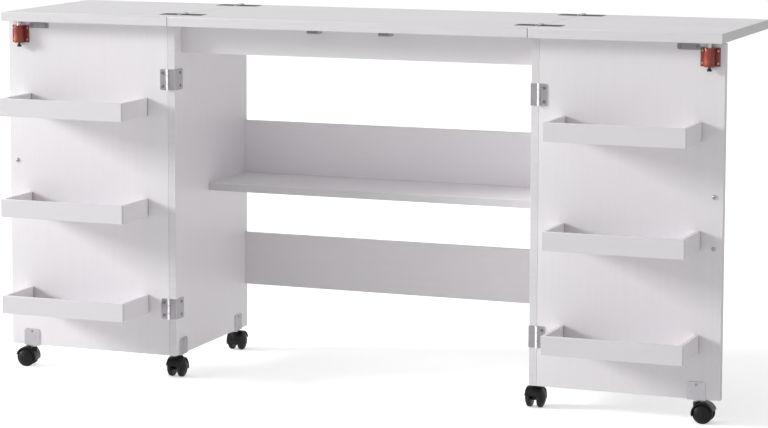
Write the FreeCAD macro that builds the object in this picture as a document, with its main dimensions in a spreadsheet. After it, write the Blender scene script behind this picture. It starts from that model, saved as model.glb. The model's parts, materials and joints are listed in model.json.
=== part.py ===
import FreeCAD, Part
import math
import os
import re

import Sketcher

# Folding sewing and cutting table: a cabinet with two fold-over leaves and two tray doors on casters.
# Millimetres. +X right, -Y towards the person at the table, +Z up, floor at zero.

doc = FreeCAD.newDocument("CuttingTable")
sheet = doc.addObject("Spreadsheet::Sheet", "Sizes")

# Driving sizes
SIZES = {
    # Table as a whole
    "table_width": 1480,
    "table_depth": 388,
    "table_height": 728,
    "top_thickness": 18,
    "front_overhang": 32,
    "panel_thickness": 15,
    "floor_gap": 45,
    "fold_gap": 2,
    "seam_gap": 1,
    "side_outset": 13.5,
    # Boards between the side panels
    "rail_setback": 32,
    "rail_height": 57,
    "shelf_setback": 160,
    "shelf_level": 375,
    "back_thickness": 12,
    "back_board_height": 110,
    "lower_board_level": 137,
    # Doors and their trays
    "door_edge_gap": 1,
    "door_end_inset": 1,
    "door_top_gap": 2,
    "tray_width": 268,
    "tray_depth": 120,
    "tray_height": 36,
    "tray_board": 8,
    "tray_floor_board": 5,
    "tray_hinge_margin": 44,
    "upper_tray_drop": 181,
    "middle_tray_drop": 383,
    "lower_tray_rise": 85,
    # Flap hinges let into the worktop
    "flap_reach": 46,
    "flap_width": 40,
    "flap_plate": 1.5,
    "flap_barrel_radius": 3,
    "flap_pin_radius": 1.4,
    "flap_axis_lift": 0.75,
    "flap_middle_knuckle": 14,
    "flap_corner_radius": 6,
    "front_flap_setback": 76,
    "rear_flap_setback": 34,
    "mortise_gap": 0.3,
    # Wrap-around door hinges
    "strap_height": 42,
    "strap_plate": 1.2,
    "strap_knuckle_radius": 2.5,
    "strap_pin_radius": 1.2,
    "strap_axis_lift": 3,
    "strap_middle_knuckle": 16,
    "strap_door_reach": 17,
    "strap_panel_reach": 35,
    "strap_corner_radius": 4,
    "upper_strap_drop": 107,
    "lower_strap_rise": 95,
    # Magnetic catches and strike plates
    "catch_width": 24,
    "catch_depth": 22,
    "catch_height": 9,
    "catch_offset": 74,
    "magnet_width": 20,
    "magnet_depth": 14,
    "magnet_height": 5,
    "magnet_proud": 0.8,
    "magnet_gap": 0.5,
    "strike_width": 44,
    "strike_height": 12,
    "strike_plate": 1.2,
    "strike_corner_radius": 4,
    "strike_end_margin": 47,
    "strike_top_margin": 1,
    # Spring bolts
    "latch_end_margin": 28,
    "latch_top_gap": 9.5,
    "latch_width": 37,
    "latch_height": 35,
    "latch_flange": 2.5,
    "latch_hump_radius": 10.5,
    "latch_axis_depth": 9,
    "latch_wall": 2,
    "latch_end_wall": 3,
    "bolt_radius": 4,
    "bolt_chamfer": 1.2,
    "bolt_rest_gap": 0.5,
    "bolt_throw": 3.5,
    "bolt_hole_clearance": 0.6,
    "bolt_hole_floor": 2,
    "collar_radius": 6.6,
    "collar_thickness": 2.5,
    "stem_radius": 2.5,
    "knob_radius": 5,
    "knob_height": 4.5,
    "knob_rim": 1.2,
    "knob_chamfer": 0.5,
    "knob_neck_wall": 0.9,
    "knob_bore_depth": 3,
    "spring_radius": 4.8,
    "spring_wire_radius": 0.5,
    "spring_bend": 1.5,
    "spring_turns": 4,
    "seat_gap": 0.3,
    # Door handles
    "handle_margin": 16.5,
    "handle_spacing": 96,
    "handle_standoff": 26,
    "handle_radius": 4.5,
    "handle_post_radius": 3.5,
    "handle_tail": 14,
    # Casters
    "bracket_door_gap": 1,
    "rear_caster_inset": 49,
    "door_caster_margin": 45,
    "wheel_radius": 19,
    "wheel_width": 13.5,
    "wheel_gap": 0.5,
    "tread_chamfer": 2.5,
    "dome_rise": 6.5,
    "axle_cover": 3,
    "axle_radius": 2.5,
    "hub_radius": 6,
    "trail": 13,
    "web_thickness": 12,
    "hood_wall": 1.6,
    "hood_gap": 0.9,
    "hood_shoulder": 0.8,
    "hood_sweep": 180,
    "hood_lean": 105,
    "boss_radius": 5.8,
    "boss_gap": 0.7,
    "kingpin_radius": 4,
    "kingpin_length": 16,
    "bracket_plate": 1.5,
    "bracket_width": 35,
    "bracket_height": 33,
    "bracket_corner_radius": 6,
    # Running clearances
    "pin_clearance": 0.05,
    "knuckle_clearance": 0.4,
}

# Sizes worked out from the driving ones
DERIVED = {
    "seam_x": "table_width / 4 + fold_gap / 4",
    "underside": "table_height - top_thickness",
    "cabinet_depth": "table_depth - front_overhang",
    "front_y": "(tray_depth - cabinet_depth) / 2",
    "back_y": "front_y + cabinet_depth",
    "top_front_y": "front_y - front_overhang",
    "side_x": "seam_x + side_outset",
    "inner_x": "side_x - panel_thickness",
    "door_start": "side_x + door_edge_gap",
    "door_end": "table_width / 2 - door_end_inset",
    "door_top": "underside - door_top_gap",
    "door_back_y": "front_y + panel_thickness",
    "tray_start": "door_start + tray_hinge_margin",
    "tray_front_y": "front_y - tray_depth",
    "upper_tray_level": "door_top - upper_tray_drop",
    "middle_tray_level": "door_top - middle_tray_drop",
    "lower_tray_level": "floor_gap + lower_tray_rise",
    "upper_strap_level": "door_top - upper_strap_drop",
    "lower_strap_level": "floor_gap + lower_strap_rise",
    "flap_level": "table_height + flap_axis_lift",
    "front_flap_y": "top_front_y + front_flap_setback",
    "rear_flap_y": "back_y - rear_flap_setback",
    "flap_bore": "flap_pin_radius + pin_clearance",
    "flap_relief": "flap_barrel_radius + knuckle_clearance",
    "flap_end_knuckle": "(flap_width - flap_middle_knuckle) / 2",
    "strap_y": "front_y - strap_axis_lift",
    "strap_bore": "strap_pin_radius + pin_clearance",
    "strap_relief": "strap_knuckle_radius + knuckle_clearance",
    "strap_end_knuckle": "(strap_height - strap_middle_knuckle) / 2",
    "strap_face": "strap_axis_lift - strap_plate",
    "magnet_front": "front_y - 2 * strap_axis_lift + strike_plate + magnet_gap",
    "catch_front": "magnet_front + magnet_proud",
    "bolt_x": "door_end - latch_end_margin",
    "bolt_y": "front_y - latch_axis_depth",
    "latch_top": "underside - latch_top_gap",
    "latch_bottom": "latch_top - latch_height",
    "latch_bore": "latch_hump_radius - latch_wall",
    "bolt_tip": "underside - bolt_rest_gap",
    "collar_top": "latch_top - latch_end_wall - bolt_throw - seat_gap",
    "collar_bottom": "collar_top - collar_thickness",
    "knob_top": "latch_bottom - bolt_throw - seat_gap",
    "spring_floor": "latch_bottom + latch_end_wall",
    "handle_x": "door_end - handle_margin",
    "handle_level": "(door_top + floor_gap) / 2",
    "wheel_inner": "web_thickness / 2 + wheel_gap",
    "wheel_outer": "wheel_inner + wheel_width",
    "tread_edge": "wheel_outer - dome_rise",
    "dome_radius": "(wheel_radius * wheel_radius + dome_rise * dome_rise) / (2 * dome_rise)",
    "hood_inner": "wheel_radius + hood_gap",
    "hood_outer": "hood_inner + hood_wall",
    "hood_crest": "tread_edge + hood_gap",
    "hood_lip": "hood_crest + hood_shoulder",
    "hood_lip_radius": "hood_inner - hood_shoulder",
    "bracket_bottom": "floor_gap - bracket_plate",
    "boss_top": "bracket_bottom - boss_gap",
    "kingpin_end": "bracket_bottom - kingpin_length",
    "bracket_half": "panel_thickness / 2 + bracket_plate",
    "side_mid_x": "side_x - panel_thickness / 2",
    "door_mid_y": "front_y + panel_thickness / 2",
    "door_caster_x": "door_end - door_caster_margin",
    "front_caster_y": "door_back_y + bracket_door_gap + bracket_width / 2",
    "rear_caster_y": "back_y - rear_caster_inset",
}

SCRATCH_CELL = "D1"
WORD = re.compile(r"\b([a-z][a-z_]+)\b")
ALONG_X = FreeCAD.Vector(1, 0, 0)
ALONG_Y = FreeCAD.Vector(0, 1, 0)
ALONG_Z = FreeCAD.Vector(0, 0, 1)
TURNS = {"y": FreeCAD.Rotation(ALONG_X, -90), "z": FreeCAD.Rotation()}
PARALLEL = 0.999
SAME_PLACE = 0.1
FULL_TURN = 2 * math.pi
NODES = {}

for row, (size_name, size_value) in enumerate(SIZES.items(), start=1):
    sheet.set(f"A{row}", size_name)
    sheet.set(f"B{row}", str(size_value))
    sheet.setAlias(f"B{row}", size_name)
for row, (size_name, formula) in enumerate(DERIVED.items(), start=len(SIZES) + 1):
    sheet.set(f"A{row}", size_name)
    sheet.set(f"B{row}", "=" + formula)
    sheet.setAlias(f"B{row}", size_name)
sheet.recompute()


def full(text):
    """Sheet expression for a formula written with the sizes' names."""
    return WORD.sub(r"Sizes.\1", text)


def number(text):
    """Value in millimetres of a formula written with the sizes' names."""
    sheet.set(SCRATCH_CELL, "=" + text)
    sheet.recompute()
    return float(sheet.get(SCRATCH_CELL))


def move(item, place):
    """Bind an object's position to three formulas."""
    for axis, text in zip("xyz", place):
        item.setExpression("Placement.Base." + axis, full(text))
    return item


def box(name, low, size):
    """Board or block from its low corner and its three lengths."""
    item = doc.addObject("Part::Box", name)
    for side, text in zip(("Length", "Width", "Height"), size):
        item.setExpression(side, full(text))
    return move(item, low)


def rod(name, base, radius, length, axis="z"):
    """Round bar or bore from the middle of its low end."""
    item = doc.addObject("Part::Cylinder", name)
    item.setExpression("Radius", full(radius))
    item.setExpression("Height", full(length))
    item.Placement = FreeCAD.Placement(FreeCAD.Vector(), TURNS[axis])
    return move(item, base)


def cut(name, base, *tools):
    """Base with every tool taken out of it."""
    tool = tools[0]
    if len(tools) > 1:
        tool = doc.addObject("Part::MultiFuse", name + "_cutter")
        tool.Shapes = list(tools)
    item = doc.addObject("Part::Cut", name)
    item.Base = base
    item.Tool = tool
    return item


def fuse(name, *shapes):
    """One solid from shapes that meet."""
    item = doc.addObject("Part::MultiFuse", name)
    item.Shapes = list(shapes)
    return item


def group(name, *shapes):
    """Several separate solids under one name."""
    item = doc.addObject("Part::Compound", name)
    item.Links = list(shapes)
    return item


def copy(name, source, place, angle=0):
    """Same shape at another place, turned about the vertical."""
    item = group(name, source)
    item.Placement = FreeCAD.Placement(FreeCAD.Vector(), FreeCAD.Rotation(ALONG_Z, angle))
    return move(item, place)


def mirror(name, source, normal=(1, 0, 0)):
    """Opposite hand of a shape, across a plane through the origin."""
    item = doc.addObject("Part::Mirroring", name)
    item.Source = source
    item.Normal = FreeCAD.Vector(*normal)
    return item


def outline(body, plane, corners, arcs=None):
    """Closed sketch through the corners; arcs gives the centre and radius of each round side."""
    arcs = arcs or {}
    sketch = body.newObject("Sketcher::SketchObject", body.Name + "_outline")
    origin_plane = [item for item in body.Origin.OriginFeatures if item.Role == plane][0]
    sketch.AttachmentSupport = (origin_plane, [""])
    sketch.MapMode = "FlatFace"
    spots = [FreeCAD.Vector(number(across), number(along), 0) for across, along in corners]
    heads = []
    tails = []
    for side, first in enumerate(spots):
        last = spots[(side + 1) % len(spots)]
        element = Part.LineSegment(first, last)
        forward = True
        if side in arcs:
            centre = FreeCAD.Vector(number(arcs[side][0]), number(arcs[side][1]), 0)
            forward = (first - centre).cross(last - centre).z > 0
            begin, end = (first, last) if forward else (last, first)
            begin_angle = math.atan2(begin.y - centre.y, begin.x - centre.x)
            end_angle = math.atan2(end.y - centre.y, end.x - centre.x)
            if end_angle < begin_angle:
                end_angle += FULL_TURN
            circle = Part.Circle(centre, ALONG_Z, number(arcs[side][2]))
            element = Part.ArcOfCircle(circle, begin_angle, end_angle)
        sketch.addGeometry(element, False)
        heads.append(1 if forward else 2)
        tails.append(2 if forward else 1)
    for side, spot in enumerate(spots):
        following = (side + 1) % len(spots)
        sketch.addConstraint(
            Sketcher.Constraint("Coincident", side, tails[side], following, heads[following]))
        for kind, value, text in zip(("DistanceX", "DistanceY"), spot, corners[side]):
            mark = sketch.addConstraint(Sketcher.Constraint(kind, -1, 1, side, heads[side], value))
            sketch.renameConstraint(mark, f"{kind}_{side}")
            sketch.setExpression(f"Constraints.{kind}_{side}", full(text))
    for side, (_, _, radius) in arcs.items():
        mark = sketch.addConstraint(Sketcher.Constraint("Radius", side, number(radius)))
        sketch.renameConstraint(mark, f"Radius_{side}")
        sketch.setExpression(f"Constraints.Radius_{side}", full(radius))
    return sketch


def padded(name, plane, corners, length, arcs=None):
    """Body drawn as an outline and padded evenly to both sides of its plane."""
    body = doc.addObject("PartDesign::Body", name)
    sketch = outline(body, plane, corners, arcs)
    pad = body.newObject("PartDesign::Pad", name + "_pad")
    pad.Profile = sketch
    pad.SideType = "Symmetric"
    pad.setExpression("Length", full(length))
    sketch.Visibility = False
    doc.recompute()
    return body


def turned(name, corners, arcs=None, sweep="360"):
    """Body turned about its own vertical axis, evenly to both sides of its drawing plane."""
    body = doc.addObject("PartDesign::Body", name)
    sketch = outline(body, "XZ_Plane", corners, arcs)
    turn = body.newObject("PartDesign::Revolution", name + "_turn")
    turn.Profile = sketch
    turn.ReferenceAxis = (sketch, ["V_Axis"])
    turn.Midplane = True
    turn.setExpression("Angle", full(sweep))
    sketch.Visibility = False
    doc.recompute()
    return body


def rounded(body, radius, wanted):
    """Round the edges of a body's tip that the test picks."""
    tip = body.Tip
    picked = [f"Edge{place}" for place, edge in enumerate(tip.Shape.Edges, start=1) if wanted(edge)]
    fillet = body.newObject("PartDesign::Fillet", body.Name + "_round")
    fillet.Base = (tip, picked)
    fillet.setExpression("Radius", full(radius))
    doc.recompute()
    return body


def runs_along(edge, axis):
    """Whether a straight edge runs along an axis."""
    if edge.Curve.TypeId != "Part::GeomLine":
        return False
    return abs(edge.tangentAt(edge.FirstParameter).dot(axis)) > PARALLEL


def node(name, item):
    """Keep an object as a finished sub-part under its own label."""
    item.Label = name
    NODES[name] = item
    return item


def both_hands(name, right):
    """Right-hand sub-part and its mirrored left-hand one."""
    node("right_" + name, right)
    node("left_" + name, mirror("left_" + name, right))


FLAP_ROWS = ("front_flap_y", "rear_flap_y")
STRAP_ROWS = ("upper_strap_level", "lower_strap_level")
TRAY_ROWS = ("upper", "middle", "lower")


# Flap hinge, drawn about its own pin with the fixed leaf towards -X
def flap_plate(name, low_x):
    """Rounded plate of one flap hinge leaf, flush with the worktop."""
    high_x = f"{low_x} + flap_reach"
    corners = [
        (low_x, "-flap_width / 2"),
        (high_x, "-flap_width / 2"),
        (high_x, "flap_width / 2"),
        (low_x, "flap_width / 2"),
    ]
    plate = padded(name, "XY_Plane", corners, "flap_plate")
    far_end = number(low_x if low_x.startswith("-") else high_x)
    rounded(plate, "flap_corner_radius",
            lambda edge: runs_along(edge, ALONG_Z) and abs(edge.CenterOfMass.x - far_end) < SAME_PLACE)
    return move(plate, ("0", "0", "-flap_axis_lift - flap_plate / 2"))


def flap_rod(name, radius, low_y, length):
    """Round bar along the flap hinge's pin."""
    return rod(name, ("0", low_y, "0"), radius, length, "y")


def flap_fixed_leaf():
    """Leaf with the two end knuckles."""
    barrel = flap_rod("flap_fixed_barrel", "flap_barrel_radius", "-flap_width / 2", "flap_width")
    leaf = fuse("flap_fixed_blank", flap_plate("flap_fixed_plate", "-flap_reach"), barrel)
    middle = flap_rod("flap_fixed_relief", "flap_relief", "-flap_middle_knuckle / 2 - knuckle_clearance",
                      "flap_middle_knuckle + 2 * knuckle_clearance")
    bore = flap_rod("flap_fixed_bore", "flap_bore", "-flap_width / 2", "flap_width")
    return cut("flap_fixed_leaf", leaf, middle, bore)


def flap_moving_leaf():
    """Leaf with the middle knuckle."""
    ends = [
        flap_rod("flap_moving_relief_near", "flap_relief", "-flap_width / 2 - knuckle_clearance",
                 "flap_end_knuckle + knuckle_clearance"),
        flap_rod("flap_moving_relief_far", "flap_relief", "flap_middle_knuckle / 2",
                 "flap_end_knuckle + knuckle_clearance"),
    ]
    plate = cut("flap_moving_trimmed", flap_plate("flap_moving_plate", "0"), *ends)
    knuckle = flap_rod("flap_moving_knuckle", "flap_barrel_radius", "-flap_middle_knuckle / 2",
                       "flap_middle_knuckle")
    bore = flap_rod("flap_moving_bore", "flap_bore", "-flap_width / 2", "flap_width")
    return cut("flap_moving_leaf", fuse("flap_moving_blank", plate, knuckle), bore)


def flap_mortises(name, spot_x, row):
    """Recess in the worktop for one whole flap hinge."""
    recess = box(
        f"{name}_recess",
        (f"{spot_x} - flap_reach - mortise_gap", f"{row} - flap_width / 2 - mortise_gap",
         "table_height - flap_plate"),
        ("2 * flap_reach + 2 * mortise_gap", "flap_width + 2 * mortise_gap", "flap_plate"),
    )
    groove = rod(f"{name}_groove", (spot_x, f"{row} - flap_width / 2 - mortise_gap", "flap_level"),
                 "flap_relief", "flap_width + 2 * mortise_gap", "y")
    return [recess, groove]


def build_worktop():
    """Centre top, two leaves and the four flap hinges that join them."""
    fixed = flap_fixed_leaf()
    moving = flap_moving_leaf()
    pin = flap_rod("flap_pin", "flap_pin_radius", "-flap_width / 2", "flap_width")
    right_cuts = []
    for row in FLAP_ROWS:
        right_cuts += flap_mortises(f"right_{row}", "seam_x", row)
    bolt_hole = rod("leaf_bolt_hole", ("bolt_x", "bolt_y", "underside"),
                    "bolt_radius + bolt_hole_clearance", "bolt_throw - bolt_rest_gap + bolt_hole_floor")
    leaf_blank = box("leaf_blank", ("seam_x + seam_gap / 2", "top_front_y", "underside"),
                     ("table_width / 2 - seam_x - seam_gap / 2", "table_depth", "top_thickness"))
    both_hands("leaf", cut("right_leaf", leaf_blank, *right_cuts, bolt_hole))
    centre_blank = box("centre_blank", ("-seam_x + seam_gap / 2", "top_front_y", "underside"),
                       ("2 * seam_x - seam_gap", "table_depth", "top_thickness"))
    right_mortises = fuse("right_mortises", *right_cuts)
    left_mortises = mirror("left_mortises", right_mortises)
    node("centre_top", cut("centre_top", centre_blank, right_mortises, left_mortises))
    fixed_leaves = []
    pins = []
    moving_leaves = []
    for row in FLAP_ROWS:
        spot = ("seam_x", row, "flap_level")
        fixed_leaves.append(copy(f"fixed_leaf_{row}", fixed, spot))
        pins.append(copy(f"flap_pin_{row}", pin, spot))
        moving_leaves.append(copy(f"moving_leaf_{row}", moving, spot))
    right_fixed = group("right_fixed_leaves", *fixed_leaves)
    right_pins = group("right_flap_pins", *pins)
    node("flap_hinge_fixed_leaves",
         group("flap_hinge_fixed_leaves", right_fixed, mirror("left_fixed_leaves", right_fixed)))
    node("flap_hinge_pins", group("flap_hinge_pins", right_pins, mirror("left_flap_pins", right_pins)))
    both_hands("leaf_hinge_plates", group("right_leaf_hinge_plates", *moving_leaves))


def build_cabinet():
    """Side panels, front rail, shelf and the two back boards."""
    side = box("right_side_panel", ("inner_x", "front_y", "floor_gap"),
               ("panel_thickness", "cabinet_depth", "underside - floor_gap"))
    both_hands("side_panel", side)
    node("front_rail", box("front_rail", ("-inner_x", "front_y + rail_setback", "underside - rail_height"),
                           ("2 * inner_x", "panel_thickness", "rail_height")))
    node("shelf", box("shelf", ("-inner_x", "front_y + shelf_setback", "shelf_level - panel_thickness"),
                      ("2 * inner_x", "cabinet_depth - shelf_setback", "panel_thickness")))
    back_size = ("2 * inner_x", "back_thickness", "back_board_height")
    node("upper_back_board",
         box("upper_back_board", ("-inner_x", "back_y - back_thickness", "shelf_level"), back_size))
    node("lower_back_board",
         box("lower_back_board", ("-inner_x", "back_y - back_thickness", "lower_board_level"), back_size))


# Door hinge, drawn about its own pin with the frame leaf towards -X
def strap_rod(name, radius, low_z, length):
    """Round bar along the door hinge's pin."""
    return rod(name, ("0", "0", low_z), radius, length)


def strap_frame_leaf():
    """Leaf that wraps round the side panel's front edge, with the two end knuckles."""
    corners = [
        ("0", "strap_face"),
        ("0", "strap_axis_lift"),
        ("-panel_thickness", "strap_axis_lift"),
        ("-panel_thickness", "strap_axis_lift + strap_panel_reach"),
        ("-panel_thickness - strap_plate", "strap_axis_lift + strap_panel_reach"),
        ("-panel_thickness - strap_plate", "strap_face"),
    ]
    wrap = padded("strap_wrap", "XY_Plane", corners, "strap_height")
    far_end = number("strap_axis_lift + strap_panel_reach")
    rounded(wrap, "strap_corner_radius",
            lambda edge: runs_along(edge, ALONG_X) and abs(edge.CenterOfMass.y - far_end) < SAME_PLACE)
    barrel = strap_rod("strap_frame_barrel", "strap_knuckle_radius", "-strap_height / 2", "strap_height")
    middle = strap_rod("strap_frame_relief", "strap_relief", "-strap_middle_knuckle / 2 - knuckle_clearance",
                       "strap_middle_knuckle + 2 * knuckle_clearance")
    bore = strap_rod("strap_frame_bore", "strap_bore", "-strap_height / 2", "strap_height")
    return cut("strap_frame_leaf", fuse("strap_frame_blank", wrap, barrel), middle, bore)


def strap_door_leaf():
    """Leaf that lies on the door's inner face, with the middle knuckle."""
    corners = [
        ("0", "-strap_height / 2"),
        ("strap_door_reach", "-strap_height / 2"),
        ("strap_door_reach", "strap_height / 2"),
        ("0", "strap_height / 2"),
    ]
    plate = padded("strap_door_plate", "XZ_Plane", corners, "strap_plate")
    far_end = number("strap_door_reach")
    rounded(plate, "strap_corner_radius",
            lambda edge: runs_along(edge, ALONG_Y) and abs(edge.CenterOfMass.x - far_end) < SAME_PLACE)
    move(plate, ("0", "strap_axis_lift - strap_plate / 2", "0"))
    ends = [
        strap_rod("strap_door_relief_low", "strap_relief", "-strap_height / 2 - knuckle_clearance",
                  "strap_end_knuckle + knuckle_clearance"),
        strap_rod("strap_door_relief_high", "strap_relief", "strap_middle_knuckle / 2",
                  "strap_end_knuckle + knuckle_clearance"),
    ]
    trimmed = cut("strap_door_trimmed", plate, *ends)
    knuckle = strap_rod("strap_door_knuckle", "strap_knuckle_radius", "-strap_middle_knuckle / 2",
                        "strap_middle_knuckle")
    bore = strap_rod("strap_door_bore", "strap_bore", "-strap_height / 2", "strap_height")
    return cut("strap_door_leaf", fuse("strap_door_blank", trimmed, knuckle), bore)


def build_door_hinges():
    """Frame leaves and pins on the cabinet, door leaves on the doors."""
    frame_leaf = strap_frame_leaf()
    door_leaf = strap_door_leaf()
    pin = strap_rod("strap_pin", "strap_pin_radius", "-strap_height / 2", "strap_height")
    frame_leaves = []
    door_leaves = []
    pins = []
    for row in STRAP_ROWS:
        spot = ("side_x", "strap_y", row)
        frame_leaves.append(copy(f"frame_leaf_{row}", frame_leaf, spot))
        door_leaves.append(copy(f"door_leaf_{row}", door_leaf, spot))
        pins.append(copy(f"strap_pin_{row}", pin, spot))
    right_leaves = group("right_frame_leaves", *frame_leaves)
    right_pins = group("right_strap_pins", *pins)
    node("door_hinge_frame_leaves",
         group("door_hinge_frame_leaves", right_leaves, mirror("left_frame_leaves", right_leaves)))
    node("door_hinge_pins", group("door_hinge_pins", right_pins, mirror("left_strap_pins", right_pins)))
    both_hands("door_hinge_leaves", group("right_door_hinge_leaves", *door_leaves))


def tray(row):
    """Front, two ends and floor of one door tray."""
    level = f"{row}_tray_level"
    inner_front = "tray_front_y + tray_board"
    inner_depth = "tray_depth - tray_board"
    front = box(f"{row}_tray_front", ("tray_start", "tray_front_y", level),
                ("tray_width", "tray_board", "tray_height"))
    near_end = box(f"{row}_tray_near_end", ("tray_start", inner_front, level),
                   ("tray_board", inner_depth, "tray_height"))
    far_end = box(f"{row}_tray_far_end", ("tray_start + tray_width - tray_board", inner_front, level),
                  ("tray_board", inner_depth, "tray_height"))
    floor = box(f"{row}_tray_floor", ("tray_start + tray_board", inner_front, level),
                ("tray_width - 2 * tray_board", inner_depth, "tray_floor_board"))
    return group(f"right_{row}_tray", front, near_end, far_end, floor)


def handle():
    """Bar handle on two posts, on the door's outer face."""
    bar = rod("handle_bar", ("handle_x", "door_back_y + handle_standoff",
                             "handle_level - handle_spacing / 2 - handle_tail"),
              "handle_radius", "handle_spacing + 2 * handle_tail")
    posts = [
        rod(f"handle_post_{sign}", ("handle_x", "door_back_y", f"handle_level {mark} handle_spacing / 2"),
            "handle_post_radius", "handle_standoff", "y")
        for sign, mark in (("low", "-"), ("high", "+"))
    ]
    return fuse("right_handle", bar, *posts)


def strike_plate():
    """Rounded steel plate that the magnet holds when the door is shut."""
    corners = [
        ("-strike_width / 2", "-strike_height / 2"),
        ("strike_width / 2", "-strike_height / 2"),
        ("strike_width / 2", "strike_height / 2"),
        ("-strike_width / 2", "strike_height / 2"),
    ]
    plate = padded("right_strike_plate", "XZ_Plane", corners, "strike_plate")
    rounded(plate, "strike_corner_radius", lambda edge: runs_along(edge, ALONG_Y))
    return move(plate, ("door_end - strike_end_margin - strike_width / 2", "front_y - strike_plate / 2",
                        "door_top - strike_top_margin - strike_height / 2"))


def build_doors():
    """Door panels with trays, handles and strike plates."""
    panel = box("right_door_panel", ("door_start", "front_y", "floor_gap"),
                ("door_end - door_start", "panel_thickness", "door_top - floor_gap"))
    both_hands("door_panel", panel)
    for row in TRAY_ROWS:
        both_hands(f"{row}_tray", tray(row))
    both_hands("handle", handle())
    both_hands("strike_plate", strike_plate())


def build_catches():
    """Magnetic catches under the front of the centre top."""
    shell = box("catch_shell", ("catch_offset - catch_width / 2", "catch_front", "underside - catch_height"),
                ("catch_width", "catch_depth", "catch_height"))
    magnet_low = "underside - (catch_height + magnet_height) / 2"
    pocket = box("catch_pocket", ("catch_offset - magnet_width / 2", "magnet_front", magnet_low),
                 ("magnet_width", "magnet_depth", "magnet_height"))
    right_shell = cut("right_catch_shell", shell, pocket)
    right_magnet = box("right_catch_magnet",
                       ("catch_offset - magnet_width / 2", "magnet_front", magnet_low),
                       ("magnet_width", "magnet_depth", "magnet_height"))
    node("catch_housings", group("catch_housings", right_shell, mirror("left_catch_shell", right_shell)))
    node("catch_magnets", group("catch_magnets", right_magnet, mirror("left_catch_magnet", right_magnet)))


# Spring bolt: moulded housing, steel bolt, pull knob and coil spring
def hump(name, radius, flange_corners, length):
    """Arched section of the bolt housing, open towards the door."""
    corners = [
        *flange_corners,
        (f"{radius}", "-latch_axis_depth"),
        ("0", f"-latch_axis_depth - {radius}"),
        (f"-{radius}", "-latch_axis_depth"),
    ]
    turn = len(flange_corners)
    arcs = {side: ("0", "-latch_axis_depth", radius) for side in (turn, turn + 1)}
    return padded(name, "XY_Plane", corners, length, arcs)


def latch_housing():
    """Flanged plastic arch with a closed top and bottom and a guide hole in each."""
    flange = [
        ("-latch_hump_radius", "-latch_flange"),
        ("-latch_width / 2", "-latch_flange"),
        ("-latch_width / 2", "0"),
        ("latch_width / 2", "0"),
        ("latch_width / 2", "-latch_flange"),
        ("latch_hump_radius", "-latch_flange"),
    ]
    middle = ("bolt_x", "front_y", "(latch_top + latch_bottom) / 2")
    outer = move(hump("latch_outer", "latch_hump_radius", flange, "latch_height"), middle)
    mouth = [("-latch_bore", "0"), ("latch_bore", "0")]
    inner = move(hump("latch_inner", "latch_bore", mouth, "latch_height - 2 * latch_end_wall"), middle)
    bolt_guide = rod("latch_bolt_guide", ("bolt_x", "bolt_y", "latch_top - latch_end_wall"),
                     "bolt_radius + pin_clearance", "latch_end_wall")
    stem_guide = rod("latch_stem_guide", ("bolt_x", "bolt_y", "latch_bottom"),
                     "stem_radius + pin_clearance", "latch_end_wall")
    return cut("right_latch_housing", outer, inner, bolt_guide, stem_guide)


def bolt():
    """Steel bolt with a spring collar and a thinner pull stem."""
    corners = [
        ("0", "knob_top - knob_bore_depth"),
        ("stem_radius", "knob_top - knob_bore_depth"),
        ("stem_radius", "collar_bottom"),
        ("collar_radius", "collar_bottom"),
        ("collar_radius", "collar_top"),
        ("bolt_radius", "collar_top"),
        ("bolt_radius", "bolt_tip - bolt_chamfer"),
        ("bolt_radius - bolt_chamfer", "bolt_tip"),
        ("0", "bolt_tip"),
    ]
    return move(turned("right_bolt", corners), ("bolt_x", "bolt_y", "0"))


def knob():
    """Pull knob that flares from a neck on the bolt's stem to a flat disc."""
    bottom = "knob_top - knob_height"
    bore = "stem_radius + pin_clearance"
    corners = [
        ("0", bottom),
        ("knob_radius - knob_chamfer", bottom),
        ("knob_radius", f"{bottom} + knob_chamfer"),
        ("knob_radius", f"{bottom} + knob_rim"),
        (f"{bore} + knob_neck_wall", "knob_top"),
        (bore, "knob_top"),
        (bore, "knob_top - knob_bore_depth"),
        ("0", "knob_top - knob_bore_depth"),
    ]
    return move(turned("right_knob", corners), ("bolt_x", "bolt_y", "0"))


def arc_from(start, direction, end):
    """Circular arc that leaves its start along a direction."""
    length = (end - start).Length
    along = (end - start).normalize()
    across = (direction - along * direction.dot(along)).normalize()
    lean = math.acos(direction.dot(along))
    middle = (start + end) / 2 + across * (length * math.tan(lean / 2) / 2)
    return Part.Arc(start, middle, end).toShape()


def biarc(start, start_way, end, end_way):
    """Two arcs that join two points along the given directions."""
    span = end - start
    ways = start_way + end_way
    bend = 2 * (1 - start_way.dot(end_way))
    reach = (-span.dot(ways) + math.sqrt(span.dot(ways) ** 2 + bend * span.dot(span))) / bend
    joint = (start + end + (start_way - end_way) * reach) / 2
    return [arc_from(start, start_way, joint), arc_from(end, -end_way, joint)]


NEIGHBOUR_WIRES = 4
WIRE_SAMPLES = 600


def least_gap(points, wire):
    """Least clear gap between stretches of a wire that aren't neighbours along it."""
    steps = [0.0]
    for before, after in zip(points, points[1:]):
        steps.append(steps[-1] + (after - before).Length)
    nearest = math.inf
    for place, point in enumerate(points):
        for other in range(place + 1, len(points)):
            if steps[other] - steps[place] > NEIGHBOUR_WIRES * wire:
                nearest = min(nearest, (points[other] - point).Length)
    return nearest - wire


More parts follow.
